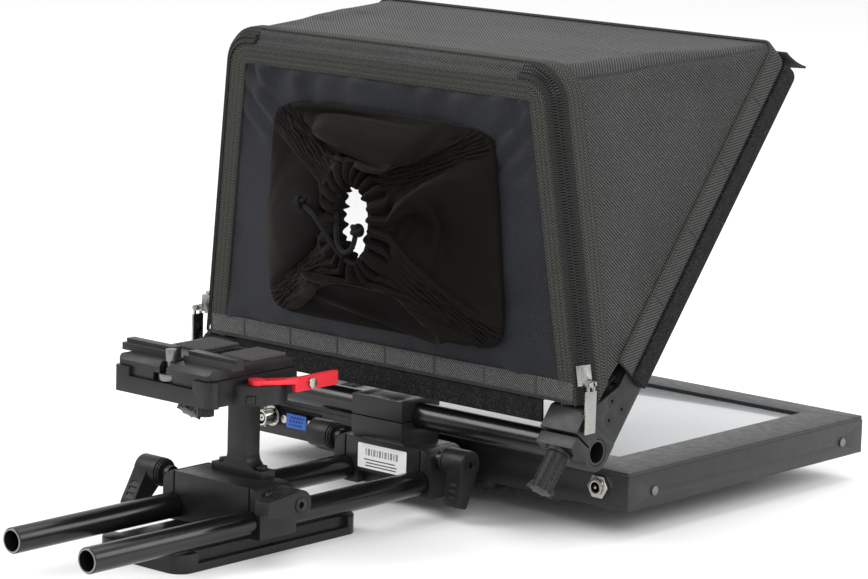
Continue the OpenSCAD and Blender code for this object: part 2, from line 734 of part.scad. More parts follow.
// Split clamp on the end of the cross tube, with its slit facing the operator.
module tilt_clamp(s) {
    color([0.13, 0.13, 0.13]) on_frame() mirror([s > 0 ? 0 : 1, 0, 0]) difference() {
        union() {
            rod_along_x(clamp_r, clamp_x0, frame_hw, 0, 0);
            // Upper block that carries the arm plate.
            translate([clamp_x0, 0, 0]) rotate([90, 0, 90]) linear_extrude(height = frame_hw - clamp_x0)
                polygon([[-1, 0], [-1, 24], [14, 24], [36, 7], [38, 0], [38, -11.5], [0, -11.5]]);
            // Lower jaw.
            box([clamp_x0, -10, -3], [frame_hw, -1, 21.5]);
        }
        rod_along_x(tube_r + slide_gap, clamp_x0 - 1, frame_hw + 1, 0, 0);
        box([clamp_x0 - 1, -2.2, 0], [frame_hw + 1, -1, 30]);
        // Seat of the arm plate and space for the rail behind it.
        box([frame_hw - arm_t, arm_d0, -20], [frame_hw + 1, 60, 30]);
        // Knob screw.
        translate([clamp_knob_x, 0, clamp_knob_n]) rotate([-90, 0, 0])
            translate([0, 0, -15]) cylinder(r = lever_screw_r + run_gap, h = 27);
        // Threads of the arm screws.
        for (p = [[30, 8], [31, -3], [20, 3]])
            rod_along_x(1.6, frame_hw - arm_t - 7, frame_hw + 1, p.x, p.y);
    }
}

module arm_plate(s) {
    color([0.15, 0.15, 0.15]) on_frame() mirror([s > 0 ? 0 : 1, 0, 0]) difference() {
        translate([frame_hw - arm_t, 0, 0]) rotate([90, 0, 90]) linear_extrude(height = arm_t)
            polygon([[arm_d0, -11], [arm_d0, 20], [18, 20.5], [40, rail_n1], [70, rail_n1], [70, -11]]);
        for (p = [[30, 8], [31, -3], [20, 3]]) {
            rod_along_x(1.7, frame_hw - arm_t - 1, frame_hw + 1, p.x, p.y);
            translate([frame_hw - 2.2, p.x, p.y]) rotate([0, 90, 0]) cylinder(r1 = 1.7, r2 = 4.1, h = 2.3);
        }
    }
}

module arm_screws() {
    color([0.25, 0.25, 0.26]) on_frame() for (s = [-1, 1]) mirror([s > 0 ? 0 : 1, 0, 0])
        for (p = [[30, 8], [31, -3], [20, 3]]) difference() {
            union() {
                rod_along_x(1.6, frame_hw - 9.5, frame_hw - 2, p.x, p.y);
                translate([frame_hw - 2.1, p.x, p.y]) rotate([0, 90, 0]) cylinder(r1 = 1.6, r2 = 3.9, h = 2.1);
            }
            translate([frame_hw - 1, p.x, p.y]) rotate([0, 90, 0]) cylinder(r = 1.1, h = 2, $fn = 6);
        }
}

// Ribbed tightening knob with its screw.
module tilt_knob(s) {
    color([0.16, 0.16, 0.16]) on_frame() translate([s * clamp_knob_x, 0, clamp_knob_n]) rotate([90, 0, 0]) {
        difference() {
            union() {
                translate([0, 0, 10.3]) cylinder(r = 8.2, h = 2.4);
                translate([0, 0, 12.6]) cylinder(r = 6.4, h = 20);
                for (k = [0:3]) translate([0, 0, 17 + 3.4 * k]) cylinder(r = 6.9, h = 1.4);
                translate([0, 0, 32]) cylinder(r1 = 6.4, r2 = 8.8, h = 3);
                translate([0, 0, 35]) cylinder(r = 8.8, h = 1.6);
            }
            for (a = [0:45:315]) translate([9.6 * cos(a), 9.6 * sin(a), 13.5]) cylinder(r = 3.6, h = 30);
        }
        translate([0, 0, -10]) cylinder(r = lever_screw_r, h = 21);
    }
}

// ---------------------------------------------------------------- hood

// Back opening as [point, outward normal] pairs in X and Z, from lower right over the top to lower left.
side_steps = 8;
arc_steps = 6;
top_steps = 10;
arc_c = [rim_w1 + rim_r * tan(taper) - rim_r / cos(taper), rim_z1 - rim_r];
side_end = arc_c + rim_r * [cos(taper), sin(taper)];
half_rim = concat(
    [for (k = [0:side_steps - 1]) [mix([rim_w0, rim_z0], side_end, k / side_steps), [cos(taper), sin(taper)]]],
    [for (k = [0:arc_steps]) let (a = mix(taper, 90, k / arc_steps)) [arc_c + rim_r * [cos(a), sin(a)], [cos(a), sin(a)]]],
    [for (k = [1:top_steps / 2]) [[mix(arc_c.x, 0, k / (top_steps / 2)), rim_z1], [0, 1]]]
);
half_n = len(half_rim);
rim = concat(
    half_rim,
    [for (k = [half_n - 2:-1:0]) let (q = half_rim[k]) [[-q[0].x, q[0].y], [-q[1].x, q[1].y]]]
);
rim_n = len(rim);

// Row-frame point on the back opening, grown by g and moved by dy.
function rim_pt(q, g, dy) = let (p = q[0] + g * q[1])
    [p.x, rim_y0 - rim_lean * (p.y - rim_z0) + dy, p.y];

// Front seam as [x, d] pairs that match the points of the back opening.
seam_x = frame_hw + 1.8;
seam_d0 = 50;
seam_d1 = frame_d1 + 1.8;
corner_r = 7;
half_seam = concat(
    [for (k = [0:side_steps - 1]) [seam_x, mix(seam_d0, seam_d1 - corner_r, k / side_steps)]],
    [for (k = [0:arc_steps]) let (a = 90 * k / arc_steps)
        [seam_x - corner_r + corner_r * cos(a), seam_d1 - corner_r + corner_r * sin(a)]],
    [for (k = [1:top_steps / 2]) [mix(seam_x - corner_r, 0, k / (top_steps / 2)), seam_d1]]
);
seam = concat(half_seam, [for (k = [half_n - 2:-1:0]) [-half_seam[k].x, half_seam[k].y]]);

// Seam point moved in by t and placed at height n over the glass plane.
function seam_pt(i, t, n) = let (
    q = seam[i],
    sx = q.x / seam_x,
    x = abs(q.x) > seam_x - corner_r ? q.x - t * sign(q.x) * min(1, abs(sx)) : q.x
) frame_pt(x, q.y - (q.y > seam_d1 - corner_r ? t : 0), n);

loft_steps = 5;

module hood_shell() {
    outer = [for (i = [0:rim_n - 1]) [for (j = [0:loft_steps])
        mix(rim_pt(rim[i], 5.8, 1.5), seam_pt(i, 0, seam_n), j / loft_steps)]];
    inner = [for (i = [0:rim_n - 1]) [for (j = [0:loft_steps])
        mix(rim_pt(rim[i], 5.8 - cloth_t, 1.5), seam_pt(i, cloth_t, seam_n), j / loft_steps)]];
    color([0.17, 0.17, 0.17]) sheet_solid(outer, inner);
}

// Touch-fastening collar that wraps the glass frame in front of the seam.
module hood_collar() {
    outer = [for (i = [0:rim_n - 1]) [for (n = [seam_n, 9, 0, rail_n0]) seam_pt(i, 0, n - (n == seam_n ? 0.1 : 0))]];
    inner = [for (i = [0:rim_n - 1]) [for (n = [seam_n, 9, 0, rail_n0]) seam_pt(i, cloth_t, n - (n == seam_n ? 0.1 : 0))]];
    color([0.14, 0.14, 0.14]) sheet_solid(outer, inner);
}

// Distance from the operator of a point in the flap's plane at height z.
function flap_y(z, off) = rim_y0 - rim_lean * (z - rim_z0) + flap_out + off;

// Profile in y and z, drawn out to both sides over the half width hw.
module profile_along_x(hw, points) {
    translate([-hw, 0, 0]) rotate([90, 0, 90]) linear_extrude(height = 2 * hw) polygon(points);
}

// Light-tight floor from the back opening to the lower frame rail.
module hood_floor() {
    front = frame_pt(0, frame_d0 + 3, rail_n1 + 0.2);
    floor_y = 138.5;
    floor_z = rim_z0 + 0.4;
    color([0.10, 0.10, 0.10]) {
        profile_along_x(151, [
            [floor_y, floor_z], [front.y, front.z], [front.y, front.z + cloth_t], [floor_y, floor_z + cloth_t]
        ]);
        // Loop strip below the flap, folded in behind it and sewn to the floor.
        profile_along_x(strip_hw, [
            [flap_y(strip_z0, -1), strip_z0], [flap_y(strip_z0, 0.8), strip_z0],
            [flap_y(strip_z1, 0.8), strip_z1 - 1.2], [floor_y + 1.9, strip_z1 - 1.2],
            [floor_y + 1.9, floor_z + 1.5], [floor_y + 0.1, floor_z + 0.7],
            [floor_y + 0.1, strip_z1], [flap_y(strip_z1, -1), strip_z1]
        ]);
    }
}

// Diagonal cross-section of the zip at one point of the back opening.
function zip_ring(q, w, t) = [for (c = [[-w, -t], [w, -t], [w, t], [-w, t]])
    rim_pt(q, 1.5 + (c.x + c.y) * cos(45), -1.5 + (c.x - c.y) * cos(45))];

// Zip up both sides, joined along the top by the cloth hinge of the flap.
module zip_chains() {
    color([0.05, 0.05, 0.05]) ring_sweep([for (q = rim) zip_ring(q, 3.6, 1.2)]);
}

// Lower stop of the zip and the direction that its slider travels.
zip_z = 104;
zip_t = (zip_z - rim_z0) / (side_end.y - rim_z0);
zip_c = [mix(rim_w0, side_end.x, zip_t), rim_y0 - rim_lean * (zip_z - rim_z0), zip_z];
pull_x = 157.8;
pull_y = zip_c.y - 5;
pull_z = zip_z - 4;

module zip_slider(s) {
    color([0.75, 0.75, 0.74]) mirror([s > 0 ? 0 : 1, 0, 0]) {
        translate([zip_c.x + 1.5, zip_c.y - 1.5, zip_z]) rotate([atan(rim_lean), 0, 0]) rotate([0, -taper, 0])
            rotate([0, 0, -45]) {
                translate([1.75, -4.2, -6]) cube([2.4, 8.4, 12]);
                translate([4, -1.4, -4.5]) cube([2.2, 2.8, 9]);
            }
        // Eye and pin of the pull tab.
        box([zip_c.x + 5, pull_y - 1.4, pull_z - 1.6], [pull_x + 1, pull_y + 1.4, pull_z + 1.6]);
        rod_along_y(0.9, pull_y - 3.6, pull_y + 3.6, pull_x, pull_z);
    }
}

module zip_pull(s) {
    color([0.72, 0.72, 0.70]) mirror([s > 0 ? 0 : 1, 0, 0]) difference() {
        union() {
            // Two eyes round the slider's pin and the plate below them.
            for (y = [pull_y - 3.2, pull_y + 1.8]) rod_along_y(1.9, y, y + 1.4, pull_x, pull_z);
            box([pull_x - 0.7, pull_y - 3.2, pull_z - 5], [pull_x + 0.7, pull_y - 1.8, pull_z]);
            box([pull_x - 0.7, pull_y + 1.8, pull_z - 5], [pull_x + 0.7, pull_y + 3.2, pull_z]);
            box([pull_x - 0.7, pull_y - 4.6, pull_z - 29], [pull_x + 0.7, pull_y + 4.6, pull_z - 4]);
        }
        rod_along_y(0.9 + run_gap, pull_y - 5, pull_y + 5, pull_x, pull_z);
        box([pull_x - 2, pull_y - 1.8, pull_z - 2.6], [pull_x + 2, pull_y + 1.8, pull_z + 3]);
    }
}

// Outline of the flap and the opening that the sleeve is sewn round.
sleeve_c = [0, 174];
sleeve_hw = 92;
sleeve_hh = 64;

function round_rect(c, hw, hh, r, n) = [for (q = [0:3], k = [0:n]) let (
    a = 90 * q + 90 * k / n,
    sx = (q == 0 || q == 3) ? 1 : -1,
    sz = q < 2 ? 1 : -1
) [c.x + sx * (hw - r) + r * cos(a), c.y + sz * (hh - r) + r * sin(a)]];

// Flat piece in the leaning plane of the back opening, between two offsets from it.
module in_flap_plane(y_out, y_in) {
    translate([0, rim_y0, rim_z0]) rotate([atan(rim_lean), 0, 0])
        translate([0, y_in, -rim_z0]) rotate([90, 0, 0]) linear_extrude(height = y_in - y_out) children();
}

module back_panel() {
    edge = [for (q = rim) q[0] + flap_g * q[1]];
    color([0.20, 0.20, 0.22]) in_flap_plane(flap_out, flap_in) difference() {
        polygon(edge);
        polygon(round_rect(sleeve_c, sleeve_hw - 8, sleeve_hh - 8, 12, 4));
    }
}

// Sleeve profile: sewn to the panel, puffed out and gathered to a narrow mouth.
mouth_c = [0, 178];
mouth_hw = 9;
mouth_hh = 21;
sleeve_n = 36;
function sleeve_ring(hw, hh, c, p) = [for (k = [0:sleeve_n - 1]) let (
    a = 360 * k / sleeve_n,
    cx = sign(cos(a)) * pow(abs(cos(a)), 2 / p),
    cz = sign(sin(a)) * pow(abs(sin(a)), 2 / p)
) [c.x + hw * cx, c.y + hh * cz]];
// Each step: half width, half height, centre height, squareness, distance off the panel.
sleeve_steps = [
    [sleeve_hw, sleeve_hh, 174, 6, 0.2],
    [sleeve_hw + 3, sleeve_hh + 4, 174, 5.5, 8],
    [sleeve_hw - 6, sleeve_hh - 3, 174, 4.5, 17],
    [64, 50, 175, 3.2, 23],
    [34, 37, 177, 2.4, 26],
    [14, 26, 178, 2, 29],
    [mouth_hw, mouth_hh, 178, 2, 26],
    [mouth_hw + 3, mouth_hh + 3, 178, 2, 18]
];
function sleeve_pt(p, off) = [p.x, rim_y0 - rim_lean * (p.y - rim_z0) + flap_out - off, p.y];
function sleeve_grid(shrink, drop) = [for (k = [0:sleeve_n - 1]) [for (st = sleeve_steps)
    let (inward = st[4] > 27 ? 0 : shrink)
    sleeve_pt(sleeve_ring(st[0] - inward, st[1] - inward, [0, st[2]], st[3])[k], max(0.2, st[4] - drop))]];

module camera_sleeve() {
    outer = sleeve_grid(0, 0);
    inner = [for (k = [0:sleeve_n - 1]) [for (i = [0:len(sleeve_steps) - 1])
        let (st = sleeve_steps[i], grow = i > 5 ? 2.4 : -2.4, drop = i > 5 ? (i == 6 ? 3 : 0) : (i == 0 ? 0 : 2.4))
        sleeve_pt(sleeve_ring(st[0] + grow, st[1] + grow, [0, st[2]], st[3])[k], max(0.2, st[4] - drop))]];
    color([0.13, 0.11, 0.10]) sheet_solid(outer, inner, true);
}

// Drawstring: from the left knot into the hem of the mouth, once round it and out to the right knot.
cord_r = 1.6;
cord_route = [
    [-33, 92, 184], [-25, 91.5, 180], [-18, 92.5, 172], [-11.5, 96, 162], [-5, 99, 154.5],
    [3, 99.5, 152.8], [10, 99.5, 159.5], [13.3, 99.5, 171], [13.3, 99.5, 185], [9.5, 99.5, 197],
    [1, 99.5, 203.3], [-8, 99.5, 199], [-12.8, 99.5, 187], [-12.3, 98.5, 175], [-8.5, 95, 165.5],
    [-1.5, 93, 160], [6, 92, 163], [9.5, 91.5, 171.5]
];
cord_sub = 3;

// Smooth curve through the route's points.
function spline(a, b, c, d, t) = 0.5 * (2 * b + (c - a) * t + (2 * a - 5 * b + 4 * c - d) * t * t
    + (3 * b - a - 3 * c + d) * t * t * t);
function curve(route, sub) = let (n = len(route)) concat(
    [for (i = [0:n - 2], k = [0:sub - 1]) spline(
        route[max(i - 1, 0)], route[i], route[i + 1], route[min(i + 2, n - 1)], k / sub)],
    [route[n - 1]]
);
function unit(v) = v / norm(v);
// Eight-sided ring of radius r round a curve point whose direction is dir.
function cord_ring(c, dir, r) = let (
    u = unit(cross(dir, [0.1, 1, 0.05])),
    v = cross(u, dir)
) [for (j = [0:7]) c + r * (u * cos(45 * j) + v * sin(45 * j))];
// Knot profile: distance beyond the cord's end and radius there.
knot = [[6.6, 1.4], [6, 3.2], [3.6, 4.2], [1.2, 3.4], [0.2, cord_r]];

module drawstring() {
    path = curve(cord_route, cord_sub);
    n = len(path);
    dir0 = unit(path[1] - path[0]);
    dir1 = unit(path[n - 1] - path[n - 2]);
    color([0.08, 0.08, 0.08]) ring_sweep(concat(
        [for (k = knot) cord_ring(path[0] - k[0] * dir0, dir0, k[1])],
        [for (i = [1:n - 2]) cord_ring(path[i], unit(path[i + 1] - path[i - 1]), cord_r)],
        [for (i = [len(knot) - 1:-1:0]) cord_ring(path[n - 1] + knot[i][0] * dir1, dir1, knot[i][1])]
    ));
}

// Webbing along the lower edge of the flap with its fastening strip below.
module webbing_strip() {
    color([0.16, 0.16, 0.16]) in_flap_plane(flap_out - 1.4, flap_out)
        polygon([[-146, 86.3], [146, 86.3], [144.4, 99], [-144.4, 99]]);
}

// ---------------------------------------------------------------- nodes

base_plate();
base_screws();
rear_rod_block();
lever_screws(rear_y0 + lever_dy);  // rear_lever_screws
riser_post();
adapter_body();
clamp_lever(-1, rear_y0 + lever_dy, -38);  // rear_lever_left
clamp_lever(1, rear_y0 + lever_dy, -92);  // rear_lever_right
friction_knob();
lock_lever();
lever_rivet();
release_button();
camera_plate();
plate_pads();
camera_screw();
rod(-1);  // rod_left
rod(1);  // rod_right
front_rod_block();
lever_screws(front_y0 + lever_dy);  // front_lever_screws
tube_clamp_seat();
tube_clamp_cap();
cap_screws();
cross_tube();
monitor_bracket();
monitor_housing();
monitor_bezel();
monitor_back_cover();
lcd_panel();
monitor_board();
vga_socket();
bnc_socket();
dc_jack();
monitor_screws();
clamp_lever(-1, front_y0 + lever_dy, 80);  // front_lever_left
clamp_lever(1, front_y0 + lever_dy, -15);  // front_lever_right
side_rail(-1);  // frame_rail_left
side_rail(1);  // frame_rail_right
cross_rail(frame_d1 - 11, frame_d1);  // frame_rail_top
cross_rail(frame_d0, frame_d0 + 11);  // frame_rail_bottom
beamsplitter_glass();
glass_gasket();
tilt_clamp(-1);  // tilt_clamp_left
tilt_clamp(1);  // tilt_clamp_right
arm_plate(-1);  // arm_plate_left
arm_plate(1);  // arm_plate_right
arm_screws();
tilt_knob(-1);  // tilt_knob_left
tilt_knob(1);  // tilt_knob_right
hood_shell();
hood_collar();
hood_floor();
zip_chains();
zip_slider(-1);  // zip_slider_left
zip_slider(1);  // zip_slider_right
zip_pull(-1);  // zip_pull_left
zip_pull(1);  // zip_pull_right
back_panel();
camera_sleeve();
drawstring();
webbing_strip();
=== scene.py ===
"""Looks of the rod-mounted teleprompter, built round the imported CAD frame.

Lengths are written in millimetres and turned into metres by mm(). The frame is the CAD's:
+X right for the camera operator, +Y towards the speaker, +Z up, origin under the base plate.
"""
import json
import math

import bmesh
import bpy
from mathutils import Matrix, Vector, noise


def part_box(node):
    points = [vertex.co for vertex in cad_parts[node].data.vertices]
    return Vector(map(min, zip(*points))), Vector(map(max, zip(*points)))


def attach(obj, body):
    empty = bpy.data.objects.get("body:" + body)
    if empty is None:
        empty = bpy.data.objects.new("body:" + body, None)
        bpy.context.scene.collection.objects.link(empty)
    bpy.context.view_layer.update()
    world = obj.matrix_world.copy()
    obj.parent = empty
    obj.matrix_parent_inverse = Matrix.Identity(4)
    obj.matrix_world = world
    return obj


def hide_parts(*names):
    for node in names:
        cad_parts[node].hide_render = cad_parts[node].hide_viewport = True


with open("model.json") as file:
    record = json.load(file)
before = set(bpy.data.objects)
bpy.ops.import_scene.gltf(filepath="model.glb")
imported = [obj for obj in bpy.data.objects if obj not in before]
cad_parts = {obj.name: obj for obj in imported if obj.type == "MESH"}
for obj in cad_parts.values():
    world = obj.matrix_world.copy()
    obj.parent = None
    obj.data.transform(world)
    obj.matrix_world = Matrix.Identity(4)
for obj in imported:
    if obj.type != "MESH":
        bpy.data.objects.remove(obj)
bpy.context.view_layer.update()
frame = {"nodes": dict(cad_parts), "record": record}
NODES = frame["nodes"]
BODY_OF = {n: b for b, members in frame["record"]["behaviour"]["bodies"].items() for n in members}
SLOT_OF = {p["node"]: p["material_slot"] for p in frame["record"]["subparts"]}
TAU = 2 * math.pi


def mm(*values):
    """Millimetres to metres, as a Vector for three values."""
    scaled = [v * 0.001 for v in values]
    return scaled[0] if len(scaled) == 1 else Vector(scaled)


def mix(a, b, t):
    return a + (b - a) * t


def smoothstep(low, high, value):
    t = min(1.0, max(0.0, (value - low) / (high - low)))
    return t * t * (3 - 2 * t)


# -------------------- camera

CAMERA_AT = mm(1404.7, -1458.7, 515.0)
CAMERA_YAW = math.radians(40.7)
CAMERA_PITCH = math.radians(10.18)
CAMERA_ROLL = math.radians(1.64)
CAMERA_LENS = 149.5


def make_camera():
    forward = Vector((
        -math.sin(CAMERA_YAW) * math.cos(CAMERA_PITCH),
        math.cos(CAMERA_YAW) * math.cos(CAMERA_PITCH),
        -math.sin(CAMERA_PITCH),
    ))
    level = Vector((math.cos(CAMERA_YAW), math.sin(CAMERA_YAW), 0))
    upright = level.cross(forward)
    right = math.cos(CAMERA_ROLL) * level + math.sin(CAMERA_ROLL) * upright
    up = math.cos(CAMERA_ROLL) * upright - math.sin(CAMERA_ROLL) * level
    data = bpy.data.cameras.new("camera")
    data.lens = CAMERA_LENS
    data.sensor_width = 36
    data.clip_end = 20
    camera = bpy.data.objects.new("camera", data)
    bpy.context.scene.collection.objects.link(camera)
    camera.matrix_world = Matrix((
        (right.x, up.x, -forward.x, CAMERA_AT.x),
        (right.y, up.y, -forward.y, CAMERA_AT.y),
        (right.z, up.z, -forward.z, CAMERA_AT.z),
        (0, 0, 0, 1),
    ))
    bpy.context.scene.camera = camera


make_camera()


# -------------------- materials

class Shader:
    """One node material, with short calls for the nodes that the looks need."""

    def __init__(self, name, **sockets):
        self.material = bpy.data.materials.new(name)
        self.material.use_nodes = True
        self.tree = self.material.node_tree
        self.surface = self.tree.nodes["Principled BSDF"]
        for socket, value in sockets.items():
            self.surface.inputs[socket.replace("_", " ")].default_value = value

    def add(self, kind, inputs=None, **settings):
        node = self.tree.nodes.new("ShaderNode" + kind)
        for key, value in settings.items():
            setattr(node, key, value)
        for key, value in (inputs or {}).items():
            if isinstance(value, bpy.types.NodeSocket):
                self.tree.links.new(value, node.inputs[key])
            else:
                node.inputs[key].default_value = value
        return node

    def math(self, operation, a, b=0.0):
        return self.add("Math", {0: a, 1: b}, operation=operation).outputs[0]

    def place(self):
        return self.add("TexCoord").outputs["Object"]

    def cloth_place(self):
        """Position along the cloth as separate lengths in metres."""
        uv = self.add("TexCoord").outputs["UV"]
        split = self.add("SeparateXYZ", {0: uv})
        return split.outputs[0], split.outputs[1]

    def noise(self, scale, detail=3.0, rough=0.5):
        inputs = {"Vector": self.place(), "Scale": scale, "Detail": detail, "Roughness": rough}
        return self.add("TexNoise", inputs).outputs["Fac"]

    def span(self, value, low, high, to_low, to_high):
        inputs = {0: value, 1: low, 2: high, 3: to_low, 4: to_high}
        return self.add("MapRange", inputs).outputs[0]

    def colours(self, fac, dark, light):
        node = self.add("Mix", {0: fac, 6: (*dark, 1), 7: (*light, 1)}, data_type="RGBA")
        return node.outputs[2]

    def wave(self, value, pitch):
        """Ridges from 0 to 1 along a length, one every pitch metres."""
        turned = self.math("MULTIPLY", value, TAU / pitch)
        return self.span(self.math("SINE", turned), -1, 1, 0, 1)

    def bump(self, height, distance):
        inputs = {"Height": height, "Distance": distance, "Strength": 1.0}
        normal = self.add("Bump", inputs).outputs[0]
        self.tree.links.new(normal, self.surface.inputs["Normal"])

    def feed(self, socket, value):
        self.tree.links.new(value, self.surface.inputs[socket])


def hard_finish(name, dark, light, rough, grain, depth, metallic=0.0, specular=0.2):
    """Metal or plastic with mottled colour, uneven gloss, a painted highlight on sharp outer edges and a fine
    grain.
    """
    s = Shader(name, Metallic=metallic, Specular_IOR_Level=specular)
    mottle = s.noise(60, 4, 0.6)
    # Painted highlight: sharp outer edges, found by pointiness, are mixed towards the light colour to stand in
    # for light catching them.
    edge = s.span(s.add("NewGeometry").outputs["Pointiness"], 0.52, 0.60, 0, 0.6)
    s.feed("Base Color", s.colours(s.math("ADD", s.math("MULTIPLY", mottle, 0.5), edge), dark, light))
    s.feed("Roughness", s.span(s.noise(170, 3), 0.3, 0.7, rough - 0.06, rough + 0.06))
    s.bump(s.noise(grain, 3, 0.7), mm(depth))
    return s.material


def rod_finish():
    """Black gloss tube whose cut ends show bare metal, with a painted highlight: the ring at each end is
    coloured light to stand in for the light on the chamfer.
    """
    s = Shader("rod_black", Metallic=0.6)
    along = s.add("SeparateXYZ", {0: s.place()}).outputs[1]
    low, high = (corner.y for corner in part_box("rod_left"))
    middle, half = (low + high) / 2, (high - low) / 2
    away = s.math("ABSOLUTE", s.math("SUBTRACT", along, middle))
    # Partly bare metal, partly painted highlight: the last sliver at each end is coloured light and metallic,
    # standing in for the bright line on the chamfer.
    bright = s.span(away, half - mm(0.16), half - mm(0.1), 0, 1)
    s.feed("Base Color", s.colours(bright, (0.007, 0.007, 0.0075), (0.20, 0.20, 0.205)))
    s.feed("Metallic", s.span(bright, 0, 1, 0.2, 1))
    s.feed("Roughness", s.span(s.noise(60, 2), 0.3, 0.7, 0.20, 0.27))
    s.bump(s.noise(300, 2), mm(0.002))
    return s.material


def woven(name, dark, light, pitch, rough, sheen, diagonal=1.0, depth=0.18):
    """Coarse nylon: raised diagonal ribs crossed by finer threads, with slight colour drift and painted glints
    on the rib tops.
    """
    s = Shader(name, Sheen_Weight=sheen, Sheen_Roughness=0.5, Specular_IOR_Level=0.16)
    u, v = s.cloth_place()
    rib = s.wave(s.math("ADD", u, s.math("MULTIPLY", v, diagonal)), mm(pitch))
    thread = s.wave(s.math("SUBTRACT", u, s.math("MULTIPLY", v, 0.9 * diagonal)), mm(pitch) * 0.62)
    height = s.math("ADD", s.math("MULTIPLY", rib, 0.6), s.math("MULTIPLY", thread, 0.4))
    drift = s.span(s.noise(14, 3, 0.6), 0.3, 0.7, 0.75, 1.25)
    # Painted glints: random specks of the light colour on the rib tops stand in for light caught by single
    # fibres.
    painted_glints = s.span(s.noise(620, 2, 0.7), 0.5, 0.7, 0, 0.5)
    peaks = s.math("ADD", s.math("POWER", height, 2.2), s.math("MULTIPLY", painted_glints, height))
    tone = s.math("MULTIPLY", peaks, drift)
    s.feed("Base Color", s.colours(tone, dark, light))
    s.feed("Roughness", s.span(height, 0, 1, rough + 0.1, rough - 0.18))
    s.bump(height, mm(depth))
    return s.material


def herringbone():
    """Binding tape: zigzag ribs in columns along the tape."""
    s = Shader("binding", Sheen_Weight=0.03, Sheen_Roughness=0.5, Specular_IOR_Level=0.12)
    u, v = s.cloth_place()
    column = s.add("Math", {0: v, 1: mm(3.2)}, operation="PINGPONG").outputs[0]
    rib = s.wave(s.math("ADD", u, column), mm(1.9))
    groove = s.wave(v, mm(3.2))
    height = s.math("ADD", s.math("MULTIPLY", rib, 0.8), s.math("MULTIPLY", groove, 0.2))
    fuzz = s.noise(900, 3, 0.7)
    tone = s.math("MULTIPLY", height, s.span(fuzz, 0.3, 0.7, 0.6, 1.1))
    s.feed("Base Color", s.colours(tone, (0.003, 0.003, 0.0027), (0.075, 0.074, 0.064)))
    s.feed("Roughness", s.span(height, 0, 1, 0.95, 0.7))
    s.bump(height, mm(0.3))
    return s.material


def ribbed_tape():
    """Zip tape and tabs: cross ribs and a loose fibre surface."""
    s = Shader("webbing", Sheen_Weight=0.03, Sheen_Roughness=0.6, Specular_IOR_Level=0.1)
    rib = s.wave(s.cloth_place()[0], mm(1.3))
    fuzz = s.noise(1300, 4, 0.8)
    height = s.math("ADD", s.math("MULTIPLY", rib, 0.7), s.math("MULTIPLY", fuzz, 0.3))
    s.feed("Base Color", s.colours(height, (0.004, 0.004, 0.004), (0.034, 0.034, 0.032)))
    s.feed("Roughness", s.span(fuzz, 0.3, 0.7, 0.95, 0.75))
    s.bump(height, mm(0.3))
    return s.material


def fuzz_finish():
    """Loop side of a touch fastener: dark matted fibre with catching ends."""
    s = Shader("loop_tape", Sheen_Weight=0.03, Sheen_Roughness=0.5, Specular_IOR_Level=0.1)
    fibre = s.noise(900, 5, 0.85)
    clump = s.noise(260, 3, 0.7)
    both = s.math("MULTIPLY", s.span(fibre, 0.45, 0.72, 0, 1), s.span(clump, 0.35, 0.65, 0.3, 1))
    s.feed("Base Color", s.colours(both, (0.0018, 0.0018, 0.0018), (0.055, 0.054, 0.051)))
    s.feed("Roughness", s.span(fibre, 0.3, 0.7, 0.98, 0.75))
    s.bump(s.math("ADD", fibre, clump), mm(0.6))
    return s.material


def velvet_finish():
    s = Shader("velvet", Sheen_Weight=0.16, Sheen_Roughness=0.3, Specular_IOR_Level=0.1)
    s.surface.inputs["Sheen Tint"].default_value = (0.42, 0.34, 0.29, 1)
    nap = s.noise(35, 5, 0.65)
    s.feed("Base Color", s.colours(nap, (0.0018, 0.0014, 0.0012), (0.006, 0.0047, 0.004)))
    s.feed("Roughness", s.span(nap, 0.3, 0.7, 0.7, 0.9))
    s.bump(s.math("ADD", s.noise(900, 3, 0.8), s.noise(220, 2)), mm(0.12))
    return s.material


def screen_finish():
    s = Shader("screen", Base_Color=(0.40, 0.42, 0.44, 1), Coat_Weight=0.6, Coat_Roughness=0.03)
    haze = s.noise(9, 3, 0.5)
    s.feed("Base Color", s.colours(haze, (0.36, 0.38, 0.40), (0.50, 0.52, 0.53)))
    s.feed("Roughness", s.span(haze, 0.3, 0.7, 0.14, 0.22))
    s.bump(s.noise(2400, 2), mm(0.004))
    return s.material


def glass_finish():
    s = Shader("beamsplitter", Metallic=0.3, Alpha=0.16)
    s.feed("Base Color", s.colours(s.noise(6, 2), (0.62, 0.67, 0.70), (0.74, 0.78, 0.80)))
    s.feed("Roughness", s.span(s.noise(40, 3), 0.3, 0.7, 0.02, 0.05))
    return s.material


def pad_finish():
    s = Shader("pad_rubber", Specular_IOR_Level=0.2)
    speck = s.noise(700, 4, 0.8)
    x = s.add("SeparateXYZ", {0: s.place()}).outputs[0]
    height = s.math("ADD", s.math("MULTIPLY", s.wave(x, mm(1.3)), 0.7), s.math("MULTIPLY", speck, 0.3))
    s.feed("Base Color", s.colours(height, (0.006, 0.006, 0.006), (0.11, 0.108, 0.104)))
    s.feed("Roughness", s.span(speck, 0.3, 0.7, 0.9, 0.6))
    s.bump(height, mm(0.25))
    return s.material


def board_finish():
    s = Shader("board", Coat_Weight=0.3)
    tracks = s.noise(260, 2, 0.3)
    s.feed("Base Color", s.colours(s.span(tracks, 0.47, 0.5, 0, 1), (0.01, 0.09, 0.035), (0.03, 0.2, 0.08)))
    s.feed("Roughness", s.span(tracks, 0.3, 0.7, 0.3, 0.5))
    return s.material
